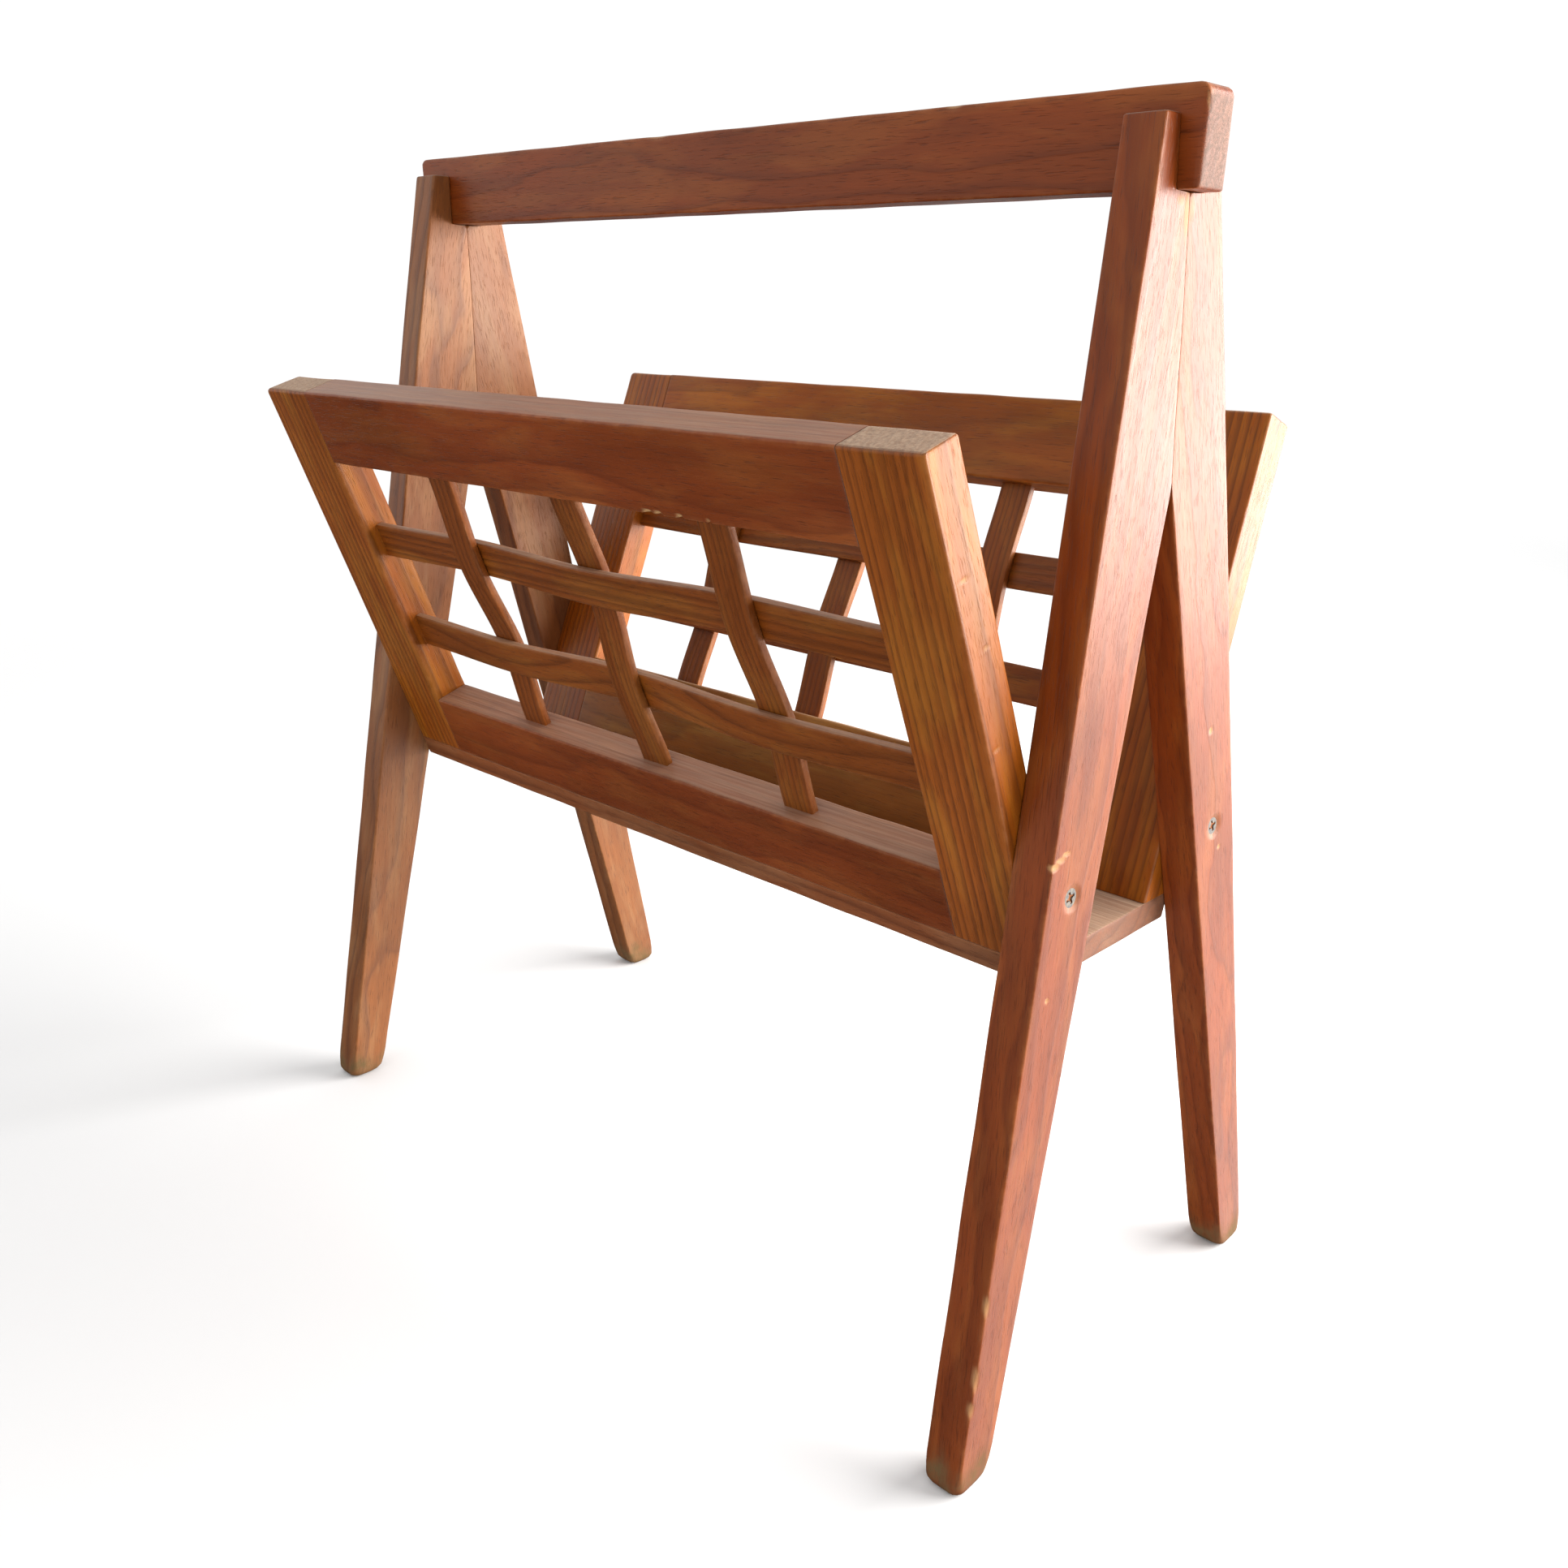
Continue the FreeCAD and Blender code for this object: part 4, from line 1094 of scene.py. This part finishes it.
def light_world():
    """White surroundings: dim below the horizon, but for a bright area on the window's side.

    The floor is left out of reflections, so below the horizon they show this part instead.
    """
    world = bpy.data.worlds.new("studio_white")
    bpy.context.scene.world = world
    world.use_nodes = True
    tree = world.node_tree
    tree.nodes.clear()
    aim = add(tree, "ShaderNodeTexCoord").outputs["Generated"]
    rise = add(tree, "ShaderNodeSeparateXYZ", {"Vector": aim}).outputs["Z"]
    above = scaled(rise, *HORIZON, 0.05, 1.05, smooth=True)
    below = scaled(rise, *HORIZON, 3.2, 0.0, smooth=True)
    facing = add(tree, "ShaderNodeVectorMath", {0: aim, 1: WINDOW_SIDE},
                 operation="DOT_PRODUCT").outputs["Value"]
    window_side = scaled(facing, 0.35, 0.9, 0.0, 1.0, smooth=True)
    bright = maths("MULTIPLY_ADD", below, window_side, above)
    white = add(tree, "ShaderNodeBackground", {"Color": (1, 1, 1, 1), "Strength": bright})
    add(tree, "ShaderNodeOutputWorld", {"Surface": white.outputs["Background"]})


def aim_camera():
    """The camera, turned by its yaw, pitch and roll."""
    yaw, pitch, roll = (math.radians(angle) for angle in CAMERA_TURN)
    ahead = Vector((-math.sin(yaw) * math.cos(pitch), math.cos(yaw) * math.cos(pitch),
                    math.sin(pitch)))
    level = Vector((math.cos(yaw), math.sin(yaw), 0))
    upward = level.cross(ahead)
    right = math.cos(roll) * level + math.sin(roll) * upward
    top = math.cos(roll) * upward - math.sin(roll) * level
    lens = bpy.data.cameras.new("studio_camera")
    lens.sensor_fit = "HORIZONTAL"
    lens.sensor_width = 36.0
    lens.lens = LENS
    lens.shift_x, lens.shift_y = LENS_SHIFT
    lens.clip_start = 0.01
    lens.dof.use_dof = False
    camera = linked("studio_camera", lens)
    turned = Matrix((right, top, -ahead)).transposed().to_4x4()
    camera.matrix_world = Matrix.Translation(CAMERA_PLACE) @ turned
    return camera


# ---------------------------------------------------------------- operators

class RACK_OT_legs(bpy.types.Operator):
    """Makes the four tapered legs"""

    bl_idname = "rack.legs"
    bl_label = "Legs"

    def execute(self, context):
        slope = math.atan2(FOOT_OUTSIDE - HORN_OUTSIDE, HORN_TOP)
        looks = {(-1, -1): ("honey", (38, 12), 9.0, 1, 1.0),
                 (-1, 1): ("honey", (-52, -9), 10.5, 2, 1.0),
                 (1, -1): ("red", (-46, 10), 9.5, 3, 0.7), (1, 1): ("red", (-90, -34), 7.0, 4, 0.7)}
        for (side, depth), (stain, pith, ring, seed, contrast) in looks.items():
            node, piece = make_leg(side, depth)
            wood = varnished_wood(f"stained_cherry_{node}", stain,
                                  (-depth * slope, 0.05 * side, 0), middle_of(node), pith,
                                  ring, seed, figure=11.0, run=0.3, contrast=contrast)
            finish_piece(piece, wood, "leg_wood", node)
        return {"FINISHED"}


class RACK_OT_handle(bpy.types.Operator):
    """Makes the carrying handle"""

    bl_idname = "rack.handle"
    bl_label = "Handle"

    def execute(self, context):
        wood = varnished_wood("stained_cherry_handle", "red", (0.06, -math.pi / 2, 0),
                              middle_of("handle"), (6, 40), 5.5, 5, figure=9.0, run=0.16,
                              contrast=0.75)
        finish_piece(make_handle(), wood, "handle_wood", "handle")
        return {"FINISHED"}


class RACK_OT_panels(bpy.types.Operator):
    """Makes the stiles and rails of both panels"""

    bl_idname = "rack.panels"
    bl_label = "Panel frames"

    def execute(self, context):
        seed = 6
        for side in (-1, 1):
            for hand in (-1, 1):
                seed += 1
                node, piece = make_stile(side, hand)
                wood = varnished_wood(f"stained_ash_{node}", "brown", (-lean(side), 0, 0),
                                      middle_of(node), (120, 52), 3.9, seed, figure=1.2,
                                      dusty_top=0.8)
                finish_piece(piece, wood, "panel_wood", node)
            for top in (True, False):
                seed += 1
                node, piece = make_rail(side, top)
                stain = "red" if side < 0 else "brown" if top else "olive"
                wood = varnished_wood(f"stained_cherry_{node}", stain,
                                      (-lean(side) + 0.05, -math.pi / 2, 0), middle_of(node),
                                      (4, 34 + 3 * seed), 5.5, seed, figure=7.0, run=0.2,
                                      contrast=0.65)
                finish_piece(piece, wood, "panel_wood", node)
        return {"FINISHED"}


class RACK_OT_slats(bpy.types.Operator):
    """Makes the woven slats of both panels"""

    bl_idname = "rack.slats"
    bl_label = "Woven slats"

    def execute(self, context):
        for side in (-1, 1):
            word = front_or_rear(side)
            for upright in (True, False):
                turn = (-lean(side), 0 if upright else -math.pi / 2, 0)
                kind = "upright" if upright else "cross"
                wood = varnished_wood(f"split_ash_{word}_{kind}", "slat", turn,
                                      middle_of(f"{word}_foot_rail"), (60, 25), 3.0,
                                      20 + side + 4 * upright, figure=2.0, contrast=0.8)
                piece = make_slats(side, upright, wood)
                places = ("left", "middle", "right") if upright else ("lower", "upper")
                nodes = [f"{word}_{kind}_slat_{place}" for place in places]
                finish_piece(piece, wood, "slat_wood", *nodes)
        return {"FINISHED"}


class RACK_OT_floor_board(bpy.types.Operator):
    """Makes the board under the magazines"""

    bl_idname = "rack.floor_board"
    bl_label = "Floor board"

    def execute(self, context):
        wood = varnished_wood("stained_cherry_floor_board", "dusty", (0, -math.pi / 2, 0),
                              middle_of("floor_board"), (45, 12), 7.0, 31, figure=6.0, run=0.12,
                              contrast=0.8, dusty_ends=0.5, dusty_top=0.75)
        finish_piece(make_floor_board(), wood, "floor_wood", "floor_board")
        return {"FINISHED"}


class RACK_OT_dowels(bpy.types.Operator):
    """Gives the hidden dowels their wood"""

    bl_idname = "rack.dowels"
    bl_label = "Dowels"

    def execute(self, context):
        wood = beech_dowel_wood()
        for node in ("leg_seam_dowels", "handle_dowels", "front_rail_dowels", "rear_rail_dowels"):
            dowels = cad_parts[node]
            dowels.data.materials.clear()
            dowels.data.materials.append(wood)
        return {"FINISHED"}


class RACK_OT_screws(bpy.types.Operator):
    """Makes the cross-head screws through the legs"""

    bl_idname = "rack.screws"
    bl_label = "Leg screws"

    def execute(self, context):
        steel = zinc_plated_steel()
        reach = SCREWS_HIGH.x - SCREW_SUNK
        points, turns = [], []
        for side in (-1, 1):
            for depth in (-1, 1):
                points.append((side * reach * MM, depth * pivot_depth() * MM,
                               PIVOT_HEIGHT * MM))
                turns.append((0, side * math.pi / 2, 0))
        piece = grown_mesh("leg_wood_screws", screw_tree(steel),
                           {"Head": sizes().screw_head / 2}, points, turns)
        finish_piece(piece, steel, "screw_steel", "leg_screws")
        return {"FINISHED"}


class RACK_OT_pins(bpy.types.Operator):
    """Makes the nails that hold the floor board"""

    bl_idname = "rack.pins"
    bl_label = "Floor pins"

    def execute(self, context):
        steel = bpy.data.materials["zinc_plated_steel"]
        low, high = corners_of("floor_pins")
        head = sizes().pin_head / 2 / MM
        points = [(across * MM, depth * MM, (low.z - PIN_PROUD) * MM)
                  for across in (low.x + head, (low.x + high.x) / 2, high.x - head)
                  for depth in (low.y + head, high.y - head)]
        piece = grown_mesh("floor_board_pins", pin_tree(steel), {"Head": sizes().pin_head / 2},
                           points)
        finish_piece(piece, steel, "pin_steel", "floor_pins")
        return {"FINISHED"}


class RACK_OT_stage(bpy.types.Operator):
    """Makes the studio: floor, lights and camera"""

    bl_idname = "rack.stage"
    bl_label = "Studio"

    def execute(self, context):
        context.scene.view_settings.view_transform = "Standard"
        make_floor()
        light_world()
        light_softbox("window_softbox", (0.92, 0.84, 0.54), (0, 0, 0.28), (1.35, 0.98), 58.0,
                      (1.0, 0.985, 0.97))
        context.scene.camera = aim_camera()
        return {"FINISHED"}


class RACK_PT_sidebar(bpy.types.Panel):
    """Lists the rack's pieces in the order they are made"""

    bl_idname = "RACK_PT_sidebar"
    bl_label = "Magazine rack"
    bl_space_type = "VIEW_3D"
    bl_region_type = "UI"
    bl_category = "Rack"

    def draw(self, context):
        for operator in OPERATORS:
            self.layout.operator(operator.bl_idname)
        for group in (context.scene.rack_sizes, context.scene.rack_colours):
            box = self.layout.box()
            for key in group.__annotations__:
                box.prop(group, key)


OPERATORS = (RACK_OT_legs, RACK_OT_handle, RACK_OT_panels, RACK_OT_slats, RACK_OT_floor_board,
             RACK_OT_dowels, RACK_OT_screws, RACK_OT_pins, RACK_OT_stage)
CLASSES = (RackSizes, RackColours, *OPERATORS, RACK_PT_sidebar)


def register():
    for made in CLASSES:
        bpy.utils.register_class(made)
    bpy.types.Scene.rack_sizes = PointerProperty(type=RackSizes)
    bpy.types.Scene.rack_colours = PointerProperty(type=RackColours)


def unregister():
    del bpy.types.Scene.rack_colours
    del bpy.types.Scene.rack_sizes
    for made in reversed(CLASSES):
        bpy.utils.unregister_class(made)


def main():
    register()
    bpy.ops.rack.legs()
    bpy.ops.rack.handle()
    bpy.ops.rack.panels()
    bpy.ops.rack.slats()
    bpy.ops.rack.floor_board()
    bpy.ops.rack.dowels()
    bpy.ops.rack.screws()
    bpy.ops.rack.pins()
    bpy.ops.rack.stage()


if __name__ == "__main__":
    main()
